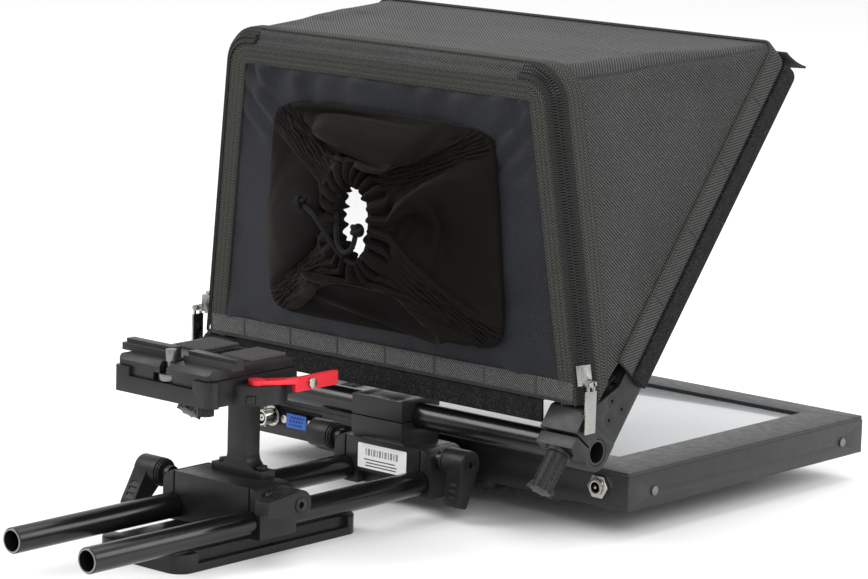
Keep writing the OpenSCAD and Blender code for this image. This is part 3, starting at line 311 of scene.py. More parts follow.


# Dark colour, light colour (which also gives the painted highlight on sharp outer edges), roughness, grain
# scale, grain depth in millimetres, then how metallic the finish is and how strongly it reflects, where these
# differ from the defaults.
HARD_FINISHES = {
    "anodised": ((0.006, 0.006, 0.0065), (0.022, 0.022, 0.023), 0.36, 1500, 0.03, 0.1, 0.28),
    "lever_black": ((0.007, 0.007, 0.0075), (0.021, 0.021, 0.022), 0.38, 900, 0.05),
    "screw_black": ((0.010, 0.010, 0.011), (0.045, 0.045, 0.047), 0.35, 1500, 0.02, 0.7),
    "screw_steel": ((0.10, 0.10, 0.105), (0.32, 0.32, 0.33), 0.3, 1500, 0.02, 0.9),
    "lever_red": ((0.52, 0.012, 0.022), (0.85, 0.05, 0.07), 0.34, 1400, 0.02, 0.35),
    "monitor_paint": ((0.007, 0.007, 0.0075), (0.024, 0.024, 0.0245), 0.38, 1900, 0.05, 0.0, 0.36),
    "vga_blue": ((0.03, 0.11, 0.50), (0.09, 0.24, 0.75), 0.38, 900, 0.02),
    "nickel": ((0.34, 0.33, 0.30), (0.60, 0.58, 0.54), 0.2, 1200, 0.01, 1.0),
    "gasket": ((0.006, 0.006, 0.006), (0.02, 0.02, 0.02), 0.85, 600, 0.1),
    "zip_black": ((0.004, 0.004, 0.004), (0.016, 0.016, 0.016), 0.34, 900, 0.02),
    "zip_silver": ((0.20, 0.20, 0.19), (0.42, 0.42, 0.40), 0.24, 1100, 0.02, 1.0),
    "label": ((0.62, 0.62, 0.61), (0.80, 0.80, 0.79), 0.5, 600, 0.02),
    "ink": ((0.03, 0.03, 0.03), (0.09, 0.09, 0.09), 0.55, 600, 0.01),
    "thread": ((0.01, 0.01, 0.01), (0.05, 0.05, 0.048), 0.8, 2000, 0.05),
}
# Dark colour, light colour, pitch of the ribs in millimetres, roughness, sheen, then the slant of the
# ribs and their depth, where these differ from the defaults.
WOVEN_FINISHES = {
    "hood_nylon": ((0.0025, 0.0025, 0.0025), (0.082, 0.081, 0.079), 2.3, 0.62, 0.03),
    "flap_twill": ((0.002, 0.0023, 0.0033), (0.026, 0.028, 0.036), 1.7, 0.5, 0.03, -1.0),
    "lining": ((0.004, 0.004, 0.004), (0.012, 0.012, 0.012), 0.9, 0.9, 0.05),
    "canvas": ((0.006, 0.006, 0.006), (0.17, 0.17, 0.165), 2.0, 0.6, 0.03, 1.0, 0.3),
    "cord_black": ((0.0008, 0.0008, 0.0008), (0.010, 0.010, 0.010), 1.6, 0.75, 0.0),
}
MATERIALS = {
    "rod_black": rod_finish(),
    "pad_rubber": pad_finish(),
    "screen": screen_finish(),
    "board": board_finish(),
    "beamsplitter": glass_finish(),
    "binding": herringbone(),
    "webbing": ribbed_tape(),
    "loop_tape": fuzz_finish(),
    "velvet": velvet_finish(),
}
for key, look in HARD_FINISHES.items():
    MATERIALS[key] = hard_finish(key, *look)
for key, look in WOVEN_FINISHES.items():
    MATERIALS[key] = woven(key, *look)


# -------------------- mesh helpers

def link(name, mesh, body, slot, *materials):
    """Puts a mesh in the scene, riding on a CAD body, with its materials, or the slot's material when none are
    given.
    """
    piece = bpy.data.objects.new(name, mesh)
    bpy.context.scene.collection.objects.link(piece)
    mesh.materials.clear()
    for key in materials or (slot,):
        mesh.materials.append(MATERIALS[key])
    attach(piece, body)
    return piece


CLOTH_ANGLE = 60


def smooth(mesh, angle=35):
    mesh.shade_smooth()
    mesh.set_sharp_from_angle(angle=math.radians(angle))


def fix_normals(mesh):
    bm = bmesh.new()
    bm.from_mesh(mesh)
    bmesh.ops.recalc_face_normals(bm, faces=bm.faces)
    bm.to_mesh(mesh)
    bm.free()


def mesh_of(name, points, faces, uvs=None, angle=35):
    """A mesh from points in millimetres, with one UV per point, in metres."""
    mesh = bpy.data.meshes.new(name)
    mesh.from_pydata([Vector(p) * 0.001 for p in points], [], faces)
    if uvs:
        layer = mesh.uv_layers.new(name="cloth")
        for loop in mesh.loops:
            layer.data[loop.index].uv = uvs[loop.vertex_index]
    smooth(mesh, angle)
    fix_normals(mesh)
    return mesh


def loft(rings, closed_path=False):
    """Points, faces and UVs of a skin through rings of points. U runs along the path and V round."""
    n, k = len(rings), len(rings[0])
    points = [p for ring in rings for p in ring]
    centres = [sum(ring, Vector()) / k for ring in rings]
    along = [0.0]
    for a, b in zip(centres, centres[1:]):
        along.append(along[-1] + (b - a).length)
    round_ring = [0.0]
    for a, b in zip(rings[n // 2], rings[n // 2][1:]):
        round_ring.append(round_ring[-1] + (b - a).length)
    uvs = [(along[i] * 0.001, round_ring[j] * 0.001) for i in range(n) for j in range(k)]
    faces = []
    for i in range(n if closed_path else n - 1):
        for j in range(k):
            a, b = i * k, ((i + 1) % n) * k
            faces.append((a + j, b + j, b + (j + 1) % k, a + (j + 1) % k))
    if not closed_path:
        faces.append(tuple(reversed(range(k))))
        faces.append(tuple((n - 1) * k + j for j in range(k)))
    return points, faces, uvs


TAPE_PROFILE = [
    (-1, 0), (-1, 0.55), (-0.95, 0.9), (-0.85, 1), (-0.4, 1), (0, 1),
    (0.4, 1), (0.85, 1), (0.95, 0.9), (1, 0.55), (1, 0), (0, 0),
]


def tape(name, centres, across, out, width, thickness, body, slot, material=None):
    """A flat strip of tape along centres, with rounded edges."""
    rings = [
        [c + a * (s * width / 2) + o * (h * thickness) for s, h in TAPE_PROFILE]
        for c, a, o in zip(centres, across, out)
    ]
    return link(name, mesh_of(name, *loft(rings)), body, slot, material or slot)


BAR_PROFILE = [(-1, 0), (-1, 0.6), (-0.6, 1), (0.6, 1), (1, 0.6), (1, 0)]


def bars(name, frames, length, width, height, body, slot, material=None):
    """Many small bevelled bars. Each frame is a centre, a direction along, one across and one out."""
    points, faces = [], []
    k = len(BAR_PROFILE)
    for centre, along, across, out in frames:
        start = len(points)
        for end in (-1, 1):
            for s, h in BAR_PROFILE:
                reach = end * length / 2 * (0.8 if h == 1 else 1.0)
                points.append(centre + along * reach + across * (s * width / 2) + out * (h * height))
        faces.append(tuple(start + j for j in reversed(range(k))))
        faces.append(tuple(start + k + j for j in range(k)))
        for j in range(k):
            faces.append((start + j, start + (j + 1) % k, start + k + (j + 1) % k, start + k + j))
    return link(name, mesh_of(name, points, faces), body, slot, material or slot)


WELD = mm(0.002)
FLAT_ANGLE, HARD_ANGLE = math.radians(1), math.radians(40)
SMALLEST_FACE = mm(0.4) * mm(0.4)


def refined(node, bevel):
    """A CAD part with its hard edges rounded, standing for the CAD node."""
    mesh = NODES[node].data.copy()
    bm = bmesh.new()
    bm.from_mesh(mesh)
    bmesh.ops.remove_doubles(bm, verts=bm.verts, dist=WELD)
    bmesh.ops.dissolve_limit(bm, angle_limit=FLAT_ANGLE, verts=bm.verts, edges=bm.edges)
    hard = [
        e for e in bm.edges
        if len(e.link_faces) == 2 and e.calc_face_angle(0) > HARD_ANGLE
        and min(f.calc_area() for f in e.link_faces) > SMALLEST_FACE
    ]
    bmesh.ops.bevel(
        bm, geom=hard, offset=mm(bevel), offset_type="OFFSET", segments=2, profile=0.6,
        affect="EDGES", clamp_overlap=True, miter_outer="ARC",
    )
    bmesh.ops.triangulate(bm, faces=[f for f in bm.faces if len(f.verts) > 4])
    bm.to_mesh(mesh)
    bm.free()
    smooth(mesh, 32)
    piece = link(node + "_finish", mesh, BODY_OF[node], SLOT_OF[node])
    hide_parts(node)
    return piece


# -------------------- hard parts

SOFT_NODES = {
    "hood_shell", "hood_collar", "hood_floor", "zip_chains", "back_panel", "camera_sleeve",
    "drawstring", "webbing_strip",
}
BEVELS = {
    "base_plate": 0.6, "rear_rod_block": 0.5, "front_rod_block": 0.5, "riser_post": 0.4, "adapter_body": 0.5,
    "camera_plate": 0.35, "monitor_housing": 0.5, "monitor_bezel": 0.5, "monitor_back_cover": 1.2,
    "rear_lever_left": 0.8, "rear_lever_right": 0.8, "front_lever_left": 0.8, "front_lever_right": 0.8,
    "tilt_clamp_left": 0.5, "tilt_clamp_right": 0.5, "lock_lever": 0.5,
}
SMALL_BEVEL = 0.2
for node in sorted(NODES):
    if node not in SOFT_NODES and node != "vga_socket":
        refined(node, BEVELS.get(node, SMALL_BEVEL))


SHELL_DEPTH, SHELL_HALF = mm(4.55), mm(8.8)
FACE_FROM, FACE_TO, FACE_HALF_X, FACE_HALF_Z = mm(0.35), mm(4.0), mm(7.6), mm(3.9)


def make_video_socket():
    """Dark flange, bright shell and jack nuts, and a blue face with its contact holes."""
    piece = refined("vga_socket", SMALL_BEVEL)
    for key in ("screw_black", "nickel"):
        piece.data.materials.append(MATERIALS[key])
    low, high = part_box("vga_socket")
    middle = (low + high) / 2
    blue, dark, bright = range(3)
    for face in piece.data.polygons:
        c = face.center
        depth, x, z = c.y - low.y, abs(c.x - middle.x), abs(c.z - middle.z)
        if depth >= SHELL_DEPTH:
            face.material_index = dark
        elif x >= SHELL_HALF:
            face.material_index = bright
        elif depth < FACE_FROM or depth > FACE_TO or (x < FACE_HALF_X and z < FACE_HALF_Z):
            face.material_index = blue
        else:
            face.material_index = bright


make_video_socket()


# -------------------- hood geometry

RIM_W0, RIM_W1, RIM_Z0, RIM_Z1, RIM_R = 150, 125, 86.5, 274, 17
RIM_Y, RIM_LEAN = 137, 0.055
TAPER = math.atan((RIM_W0 - RIM_W1) / (RIM_Z1 - RIM_Z0))
ARC_C = (RIM_W1 + RIM_R * math.tan(TAPER) - RIM_R / math.cos(TAPER), RIM_Z1 - RIM_R)
SIDE_END = (ARC_C[0] + RIM_R * math.cos(TAPER), ARC_C[1] + RIM_R * math.sin(TAPER))
HINGE = Vector((0, 142.1, 58))
TILT = math.radians(51.5)
SEAM_X, SEAM_D0, SEAM_D1, SEAM_R = 156.8, 50, 273.8, 7
SEAM_N = 20
HOOD_OFF_RIM = (5.8, 1.5)
FLAP_G, FLAP_OUT = -2.4, -4.0
SIDE_STEPS, ARC_STEPS, TOP_STEPS = 30, 12, 36


def rim_outline():
    """Back opening as (x, z, nx, nz), from lower right over the top to lower left."""
    right = []
    for k in range(SIDE_STEPS):
        x, z = mix(RIM_W0, SIDE_END[0], k / SIDE_STEPS), mix(RIM_Z0, SIDE_END[1], k / SIDE_STEPS)
        right.append((x, z, math.cos(TAPER), math.sin(TAPER)))
    for k in range(ARC_STEPS + 1):
        a = mix(TAPER, math.pi / 2, k / ARC_STEPS)
        right.append((ARC_C[0] + RIM_R * math.cos(a), ARC_C[1] + RIM_R * math.sin(a), math.cos(a), math.sin(a)))
    half = TOP_STEPS // 2
    for k in range(1, half + 1):
        right.append((mix(ARC_C[0], 0, k / half), RIM_Z1, 0, 1))
    return right + [(-x, z, -nx, nz) for x, z, nx, nz in reversed(right[:-1])]


def seam_outline():
    """Front seam as (x, d), matching the back opening point by point."""
    right = []
    for k in range(SIDE_STEPS):
        right.append((SEAM_X, mix(SEAM_D0, SEAM_D1 - SEAM_R, k / SIDE_STEPS)))
    for k in range(ARC_STEPS + 1):
        a = math.pi / 2 * k / ARC_STEPS
        right.append((SEAM_X - SEAM_R + SEAM_R * math.cos(a), SEAM_D1 - SEAM_R + SEAM_R * math.sin(a)))
    half = TOP_STEPS // 2
    for k in range(1, half + 1):
        right.append((mix(SEAM_X - SEAM_R, 0, k / half), SEAM_D1))
    return right + [(-x, d) for x, d in reversed(right[:-1])]


RIM = rim_outline()
SEAM = seam_outline()
RIM_N = len(RIM)


def rim_at(i, g, dy):
    x, z, nx, nz = RIM[i]
    x, z = x + g * nx, z + g * nz
    return Vector((x, RIM_Y - RIM_LEAN * (z - RIM_Z0) + dy, z))


def frame_at(x, d, n):
    """Point on the tilting frame: x across, d along the glass and n off it."""
    return Vector((
        x,
        HINGE.y + d * math.cos(TILT) - n * math.sin(TILT),
        HINGE.z + d * math.sin(TILT) + n * math.cos(TILT),
    ))


FRAME_N = Vector((0, -math.sin(TILT), math.cos(TILT)))
FRAME_D = Vector((0, math.cos(TILT), math.sin(TILT)))


def unit(v):
    return v.normalized() if v.length > 1e-9 else Vector((0, 0, 1))


def tangents(points):
    last = len(points) - 1
    return [unit(points[min(i + 1, last)] - points[max(i - 1, 0)]) for i in range(len(points))]


def resampled(points, pitch):
    """Points every pitch along a polyline."""
    out, carry = [points[0].copy()], 0.0
    for a, b in zip(points, points[1:]):
        length = (b - a).length
        at = pitch - carry
        while at <= length:
            out.append(a.lerp(b, at / length))
            at += pitch
        carry = length - (at - pitch)
    return out


def hood_surface(i, t, lift=0.0):
    """Outer face of the hood, from the back opening (t = 0) to the front seam (t = 1)."""
    p = rim_at(i, *HOOD_OFF_RIM).lerp(frame_at(*SEAM[i], SEAM_N), t)
    belly = math.sin(math.pi * t)
    _, _, nx, nz = RIM[i]
    out = Vector((nx, 0, nz))
    side = abs(nx)
    drift = noise.noise(Vector((p.x * 0.011, p.y * 0.013, p.z * 0.012))) * 2.2
    crease = noise.noise(Vector((p.y * 0.05 - p.z * 0.03, i * 0.01, side * 3))) * 0.5
    sag = -1.6 * (1 - side) if abs(p.x) < 120 else -0.5
    return p + out * (belly * (drift + crease + sag) + lift)


def panel_uv(p, side):
    return (p.y * 0.001, p.z * 0.001) if side else (p.x * 0.001, p.y * 0.001)


def make_hood_shell():
    steps = 40
    thick = 1.2
    points, faces, uvs = [], [], []
    for lift in (0.0, -thick):
        for i in range(RIM_N):
            for j in range(steps + 1):
                p = hood_surface(i, j / steps, lift)
                points.append(p)
                uvs.append(panel_uv(p, abs(RIM[i][2]) > 0.75))
    row = steps + 1
    half = RIM_N * row
    for i in range(RIM_N - 1):
        for j in range(steps):
            a, b = i * row + j, (i + 1) * row + j
            faces.append((a, b, b + 1, a + 1))
            faces.append((half + a, half + a + 1, half + b + 1, half + b))
        for j in (0, steps):
            a, b = i * row + j, (i + 1) * row + j
            faces.append((a, half + a, half + b, b))
    for i in (0, RIM_N - 1):
        for j in range(steps):
            a = i * row + j
            faces.append((a, a + 1, half + a + 1, half + a))
    mesh = mesh_of("hood_fabric", points, faces, uvs, CLOTH_ANGLE)
    piece = link("hood_fabric", mesh, "glass_frame", "hood_nylon", "hood_nylon", "lining")
    for face in mesh.polygons:
        if min(face.vertices) >= half:
            face.material_index = 1
    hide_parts("hood_shell")
    for i in range(RIM_N - 1):
        for j in range(steps):
            a, b, c, d = (points[(i + di) * row + j + dj] for di, dj in ((0, 0), (1, 0), (1, 1), (0, 1)))


make_hood_shell()


ALL = range(RIM_N)


def make_hood_binding():
    """Binding on the hood's outer face, parallel to the back opening."""
    centre, width, thickness, lift = 8.2, 13.0, 1.3, 0.1
    centres, across, out = [], [], []
    for i in ALL:
        depth = (hood_surface(i, 1) - hood_surface(i, 0)).length
        t, step = centre / depth, 2.0 / depth
        centres.append(hood_surface(i, t, lift))
        across.append(unit(hood_surface(i, t + step) - hood_surface(i, max(0.0, t - step))))
    for c, a, d in zip(centres, across, tangents(centres)):
        n = a.cross(d).normalized()
        out.append(-n if n.dot(Vector((c.x * 0.2, 0, c.z - 120))) < 0 else n)
    tape("hood_binding", centres, across, out, width, thickness, "glass_frame", "binding")


make_hood_binding()


def seam_path(n, lift):
    """Points round the glass frame, n over the glass plane, and the direction out of it at each."""
    path, out = [], []
    for i, (x, d) in enumerate(SEAM):
        before, after = SEAM[max(i - 1, 0)], SEAM[min(i + 1, RIM_N - 1)]
        dx, dd = after[0] - before[0], after[1] - before[1]
        size = math.hypot(dx, dd)
        nx, nd = dd / size, -dx / size
        path.append(frame_at(x + nx * lift, d + nd * lift, n))
        out.append(Vector((nx, 0, 0)) + FRAME_D * nd)
    return path, out


def front_band(name, n_centre, width, material, lift, thickness):
    """Tape round the glass frame at a height over the glass plane."""
    centres, out = seam_path(n_centre, lift)
    across = [FRAME_N] * RIM_N
    return tape(name, centres, across, out, width, thickness, "glass_frame", "hood_nylon", material)


collar = front_band("collar_band", 4.5, 31, "hood_nylon", -1.2, 1.2)
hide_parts("hood_collar")
front_band("collar_webbing", 12.6, 13.5, "hood_nylon", 0.0, 1.3)
front_band("collar_loop_tape", -3.4, 14.0, "loop_tape", 0.0, 1.9)
front_band("collar_seam", 20.2, 2.2, "binding", -0.4, 1.7)


def collar_lines():
    """Lines of stitching across the collar's webbing at even steps."""
    n_low, n_high, lift, pitch = 6.2, 19.0, 1.25, 47.0
    path, out = seam_path((n_low + n_high) / 2, lift)
    frames = []
    for p in resampled(path, pitch)[1:]:
        near = min(ALL, key=lambda q: (path[q] - p).length_squared)
        frames.append((p, FRAME_N, FRAME_N.cross(out[near]).normalized(), out[near]))
    bars("collar_cross_lines", frames, n_high - n_low, 1.1, 0.55, "glass_frame", "binding", "thread")


collar_lines()


def collar_tabs():
    """Stiff cloth tabs at the two upper corners of the collar."""
    for side, sign in (("right", 1), ("left", -1)):
        rings = []
        for k in range(7):
            t = k / 6
            ring = []
            for skin in (0.0, 1.4):
                row = []
                for q in range(7):
                    x = sign * (SEAM_X - 24 + 26 * q / 6)
                    d = SEAM_D1 + 1.0 + skin + 5.0 * t * t * (0.4 + 0.6 * q / 6)
                    row.append(frame_at(x, d, mix(8.0, -12.5 - 2.0 * q / 6, t)))
                ring += row if skin else row[::-1]
            rings.append(ring)
        name = f"collar_tab_{side}"
        link(name, mesh_of(name, *loft(rings)), "glass_frame", "hood_nylon", "webbing")


collar_tabs()


def make_hood_floor():
    """Light-tight floor between the back opening and the lower rail."""
    back_y, back_z = 138.5, RIM_Z0 + 0.4
    front = frame_at(0, 45, 8.4)
    rings = []
    for s in range(25):
        x = mix(-150, 150, s / 24)
        ring = []
        for skin in (1.5, 0.0):
            row = []
            for t in range(9):
                sag = -1.2 * math.sin(math.pi * t / 8) * (1 + 0.3 * math.cos(s))
                row.append(Vector((x, mix(back_y, front.y, t / 8), mix(back_z, front.z, t / 8) + skin + sag)))
            ring += row if skin else row[::-1]
        rings.append(ring)
    mesh = mesh_of("hood_floor_fabric", *loft(rings))
    piece = link("hood_floor_fabric", mesh, "glass_frame", "hood_nylon", "lining")
    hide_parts("hood_floor")


make_hood_floor()


# -------------------- back flap

def flap_at(x, z, off=0.0):
    """Point on the flap's outer face, off millimetres towards the operator."""
    return Vector((x, RIM_Y - RIM_LEAN * (z - RIM_Z0) + FLAP_OUT - off, z))


SLEEVE_C = (0.0, 174.0)
SLEEVE_HW, SLEEVE_HH = 94.0, 65.0
FLAP_NORMAL = Vector((0, -1, -RIM_LEAN)).normalized()
FLAP_UP = Vector((0, -RIM_LEAN, 1)).normalized()


def super_ring(cx, cz, hw, hh, power, a):
    c, s = math.cos(a), math.sin(a)
    x = math.copysign(abs(c) ** (2 / power), c) * hw
    z = math.copysign(abs(s) ** (2 / power), s) * hh
    return cx + x, cz + z


# Distance from the edge at which the folds start and reach their height, the directions of the
# upper corners in radians, and how far the panel runs in behind the sleeve at its sides and ends.
HOLD_BAND = (11.5, 18)
UPPER_CORNERS = (0.62, 2.5)
SLEEVE_TUCK = (12, 10)


def make_back_panel():
    """Flap panel: a ring of twill from the binding to the sleeve, pulled into light folds."""
    edge = [(x + FLAP_G * nx, z + FLAP_G * nz) for x, z, nx, nz in RIM]
    bottom = 40
    right, left = edge[0], edge[-1]
    outline = edge + [
        (mix(left[0], right[0], k / bottom), mix(left[1], right[1], k / bottom)) for k in range(1, bottom)
    ]
    steps = 26
    rings = []
    for x, z in outline:
        a = math.atan2((z - SLEEVE_C[1]) / SLEEVE_HH, (x - SLEEVE_C[0]) / SLEEVE_HW)
        ix, iz = super_ring(*SLEEVE_C, SLEEVE_HW - SLEEVE_TUCK[0], SLEEVE_HH - SLEEVE_TUCK[1], 6, a)
        ring = []
        for j in range(steps + 1):
            t = j / steps
            px, pz = mix(x, ix, t), mix(z, iz, t)
            from_edge = t * math.hypot(ix - x, iz - z)
            hold = smoothstep(*HOLD_BAND, from_edge)
            fold = noise.noise(Vector((a * 3.4, t * 0.5, 1.3))) * 2.4
            fold += noise.noise(Vector((a * 9.0, t * 0.8, 4.1))) * 0.9
            drift = noise.noise(Vector((px * 0.02, pz * 0.02, 9.0))) * 1.2
            top_pull = max(0.0, math.sin(a)) * 0.6 + 0.5
            wander = 2.4 * noise.noise(Vector((px * 0.03, 0, 2)))
            gather = smoothstep(222, 262, pz) * math.sin(px * 0.24 + wander)
            corner = sum(smoothstep(0.5, 0.9, 1 - abs(a - at) / 0.7) for at in UPPER_CORNERS) if a > 0 else 0.0
            pull = corner * math.sin((pz - abs(px)) * 0.33)
            foot = smoothstep(112, 98, pz) * math.sin(px * 0.19 + 1.0) * 0.7
            lift = fold * top_pull + drift + 2.3 * gather + 1.6 * pull + foot
            ring.append(flap_at(px, pz, hold * max(-1.4, 0.6 + lift)))
        ring += [p + Vector((0, 1.3, 0)) for p in reversed(ring)]
        rings.append(ring)
    points, faces, _ = loft(rings, closed_path=True)
    uvs = [(p.x * 0.001, p.z * 0.001) for p in points]
    mesh = mesh_of("flap_panel", points, faces, uvs, CLOTH_ANGLE)
    piece = link("flap_panel", mesh, "back_flap", "flap_twill")
    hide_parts("back_panel")


make_back_panel()


def flap_line(inset, lift):
    """Points on the flap, parallel to its edge."""
    g = FLAP_G - inset
    return [flap_at(x + g * nx, z + g * nz, lift) for x, z, nx, nz in RIM]


def make_flap_binding():
    across = [Vector((nx, -RIM_LEAN * nz, nz)).normalized() for _, _, nx, nz in RIM]
    tape("flap_binding", flap_line(6.2, 0.1), across, [FLAP_NORMAL] * RIM_N, 12.4, 1.3, "back_flap", "binding")


make_flap_binding()


def lower_band(
    name, z_centre, half_width, width, thickness, material, slot="binding", body="back_flap", lift=0.1,
):
    """Straight tape across the back, parallel to the lower edge of the flap."""
    steps = 40
    centres = [flap_at(mix(-half_width, half_width, k / steps), z_centre, lift) for k in range(steps + 1)]
    across, out = [FLAP_UP] * len(centres), [FLAP_NORMAL] * len(centres)
    return tape(name, centres, across, out, width, thickness, body, slot, material)


WEBBING_Z, WEBBING_HALF = 92.6, 144.5
webbing = lower_band("flap_webbing", WEBBING_Z, WEBBING_HALF, 12.2, 1.5, "canvas")
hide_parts("webbing_strip")
lower_band("floor_loop_strip", 78.6, 121.0, 14.2, 1.8, "loop_tape", "hood_nylon", "glass_frame", -0.8)


def make_strip_fold():
    """Upper edge of the loop strip, folded in below the flap and sewn to the floor."""
    profile = [(133.2, 84.6), (140.3, 84.6), (140.3, 88.2), (138.7, 87.4), (138.7, 85.6), (133.2, 85.6)]
    rings = [[Vector((mix(-120.5, 120.5, k / 24), y, z)) for y, z in profile] for k in range(25)]
    link("loop_strip_fold", mesh_of("loop_strip_fold", *loft(rings)), "glass_frame", "hood_nylon", "lining")


make_strip_fold()


def webbing_cross_lines():
    """Bar tacks that split the webbing into loops."""
    frames = [
        (flap_at(x, WEBBING_Z, 1.45), FLAP_UP, Vector((1, 0, 0)), FLAP_NORMAL) for x in range(-117, 150, 39)
    ]
    bars("webbing_cross_lines", frames, 11.6, 1.2, 0.7, "back_flap", "binding", "thread")


webbing_cross_lines()
lower_band("webbing_lower_edge", 86.9, WEBBING_HALF, 1.8, 2.0, "thread")


STITCH_PITCH, STITCH = 3.1, 2.1


def stitch_line(name, path):
    """A row of thread stitches on the flap, along a path."""
    points = resampled(path, STITCH_PITCH)
    frames = [(p, d, d.cross(FLAP_NORMAL).normalized(), FLAP_NORMAL) for p, d in zip(points, tangents(points))]
    bars(name, frames, STITCH, 0.45, 0.28, "back_flap", "binding", "thread")


for label, inset in (("outer", 1.4), ("inner", 11.2)):
    stitch_line(f"flap_stitches_{label}", flap_line(inset, 1.35))
for label, z in (("upper", 97.4), ("lower", 88.0)):
    stitch_line(f"webbing_stitches_{label}", [flap_at(x, z, 1.55) for x in range(-142, 143, 4)])


# -------------------- zips

ZIP_END = SIDE_STEPS + ARC_STEPS + 2
ZIP_SIDES = {"right": range(0, ZIP_END), "left": range(RIM_N - 1, RIM_N - 1 - ZIP_END, -1)}
ZIP_TILT = math.cos(math.radians(45))
ZIP_TAPE, TOOTH_PITCH = 6.2, 1.7


def zip_frame(i):
    """Centre, direction across the zip (away from the flap) and outward direction at one rim point."""
    _, _, nx, nz = RIM[i]
    side = Vector((nx, 0, nz))
    across = (side * ZIP_TILT + Vector((0, ZIP_TILT, 0))).normalized()
    out = (side * ZIP_TILT - Vector((0, ZIP_TILT, 0))).normalized()
    return rim_at(i, 2.1, -1.0), across, out


def make_zip(side, indexes):
    frames = [zip_frame(i) for i in indexes]
    halves = (("flap", -1, "back_flap"), ("hood", 1, "glass_frame"))
    for half, sign, body in halves:
        centres = [c + a * (sign * (ZIP_TAPE / 2 + 0.25)) for c, a, _ in frames]
        across = [a for _, a, _ in frames]
        out = [o for _, _, o in frames]
        name = f"zip_tape_{half}_{side}"
        piece = tape(name, centres, across, out, ZIP_TAPE, 0.9, body, "zip_black", "webbing")
        if sign > 0 and side == "right":
            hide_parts("zip_chains")
        spine = resampled([c + o * 0.7 for c, _, o in frames], TOOTH_PITCH)
        line = [c for c, _, _ in frames]
        teeth = []
        for p, d in zip(spine, tangents(spine)):
            near = min(range(len(line)), key=lambda q: (line[q] - p).length_squared)
            _, a, o = frames[near]
            shift = d * (TOOTH_PITCH / 2 if sign > 0 else 0)
            teeth.append((p + shift + a * (sign * 1.25), d, a, o))
        bars(f"zip_teeth_{half}_{side}", teeth, 1.15, 3.3, 1.15, body, "zip_black")


for side, indexes in ZIP_SIDES.items():
    make_zip(side, indexes)


def make_cloth_hinge():
    """Strip that joins the flap's upper edge to the roof, between the two ends of the zip."""
    indexes = range(ZIP_END - 2, RIM_N - ZIP_END + 2)
    rings = []
    for i in indexes:
        low, high = rim_at(i, FLAP_G - 1.0, FLAP_OUT - 0.2), rim_at(i, 5.6, 0.8)
        ring = []
        for k in range(9):
            t = k / 8
            crease = -1.5 * math.exp(-((t - 0.45) / 0.16) ** 2) + 0.9 * math.sin(math.pi * t)
            ring.append(low.lerp(high, t) + Vector((0, -0.6, 0.8)) * crease)
        ring += [p + Vector((0, 0.9, -0.7)) for p in reversed(ring)]
        rings.append(ring)
    mesh = mesh_of("flap_hinge_cloth", *loft(rings), CLOTH_ANGLE)
    link("flap_hinge_cloth", mesh, "glass_frame", "hood_nylon")


make_cloth_hinge()


# -------------------- gathered sleeve

SLEEVE_AROUND, SLEEVE_ALONG = 154, 30
SLEEVE_FLAT, SLEEVE_LENGTH = 595.0, 94.0
BAND_FROM = 0.78
PLEATS = 22
MOUTH_Z = 178
STITCHED_OFF, FREE_OFF, FLATTEN = 0.3, 30, 0.45
SIM_SCALE = 10.0
SIM_UNIT = 0.001 * SIM_SCALE
CLOSING_FRAMES, HELD_FRAMES = 28, 8
CLOTH = {
    "quality": 5, "mass": 0.3, "tension_stiffness": 25, "compression_stiffness": 25, "shear_stiffness": 12,
    "bending_stiffness": 4.0, "tension_damping": 12, "compression_damping": 12, "shear_damping": 8,
    "bending_damping": 1.5, "air_damping": 4, "vertex_group_mass": "pins",
}
CLOTH_CONTACT = {
    "use_collision": True, "collision_quality": 2, "distance_min": 0.012, "use_self_collision": True,
    "self_distance_min": 0.012, "vertex_group_self_collisions": "pins",
}
MOUTH_RINGS = [
    # share of the gathered band, half width, half height, distance off the flap, pleat height
    (0.0, 34, 41, 21, 2.6),
    (0.3, 26, 34, 28, 4.0),
    (0.55, 18, 28, 32, 4.6),
    (0.75, 12.6, 23, 31, 3.8),
    (0.9, 10.6, 20.8, 27, 2.4),
    (1.0, 12, 22, 22, 1.6),
]


def sleeve_base(i, grow=0.0):
    """Stitch line on the flap: a rounded box, a little narrower at the top."""
    a = TAU * i / SLEEVE_AROUND
    x, z = super_ring(*SLEEVE_C, SLEEVE_HW + grow, SLEEVE_HH + grow, 11, a)
    return x * mix(1.0, 0.93, (z - 110) / 128), z


def sleeve_straight(i, j):
    """Cut shape: a straight sleeve standing off the flap."""
    t = j / SLEEVE_ALONG
    x, z = sleeve_base(i, 2.0 * math.sin(math.pi * t))
    return flap_at(x, z, STITCHED_OFF + SLEEVE_LENGTH * t)


def mouth_profile(v):
    for low, high in zip(MOUTH_RINGS, MOUTH_RINGS[1:]):
        if v <= high[0]:
            return [mix(p, q, (v - low[0]) / (high[0] - low[0])) for p, q in zip(low[1:], high[1:])]
    return list(MOUTH_RINGS[-1][1:])


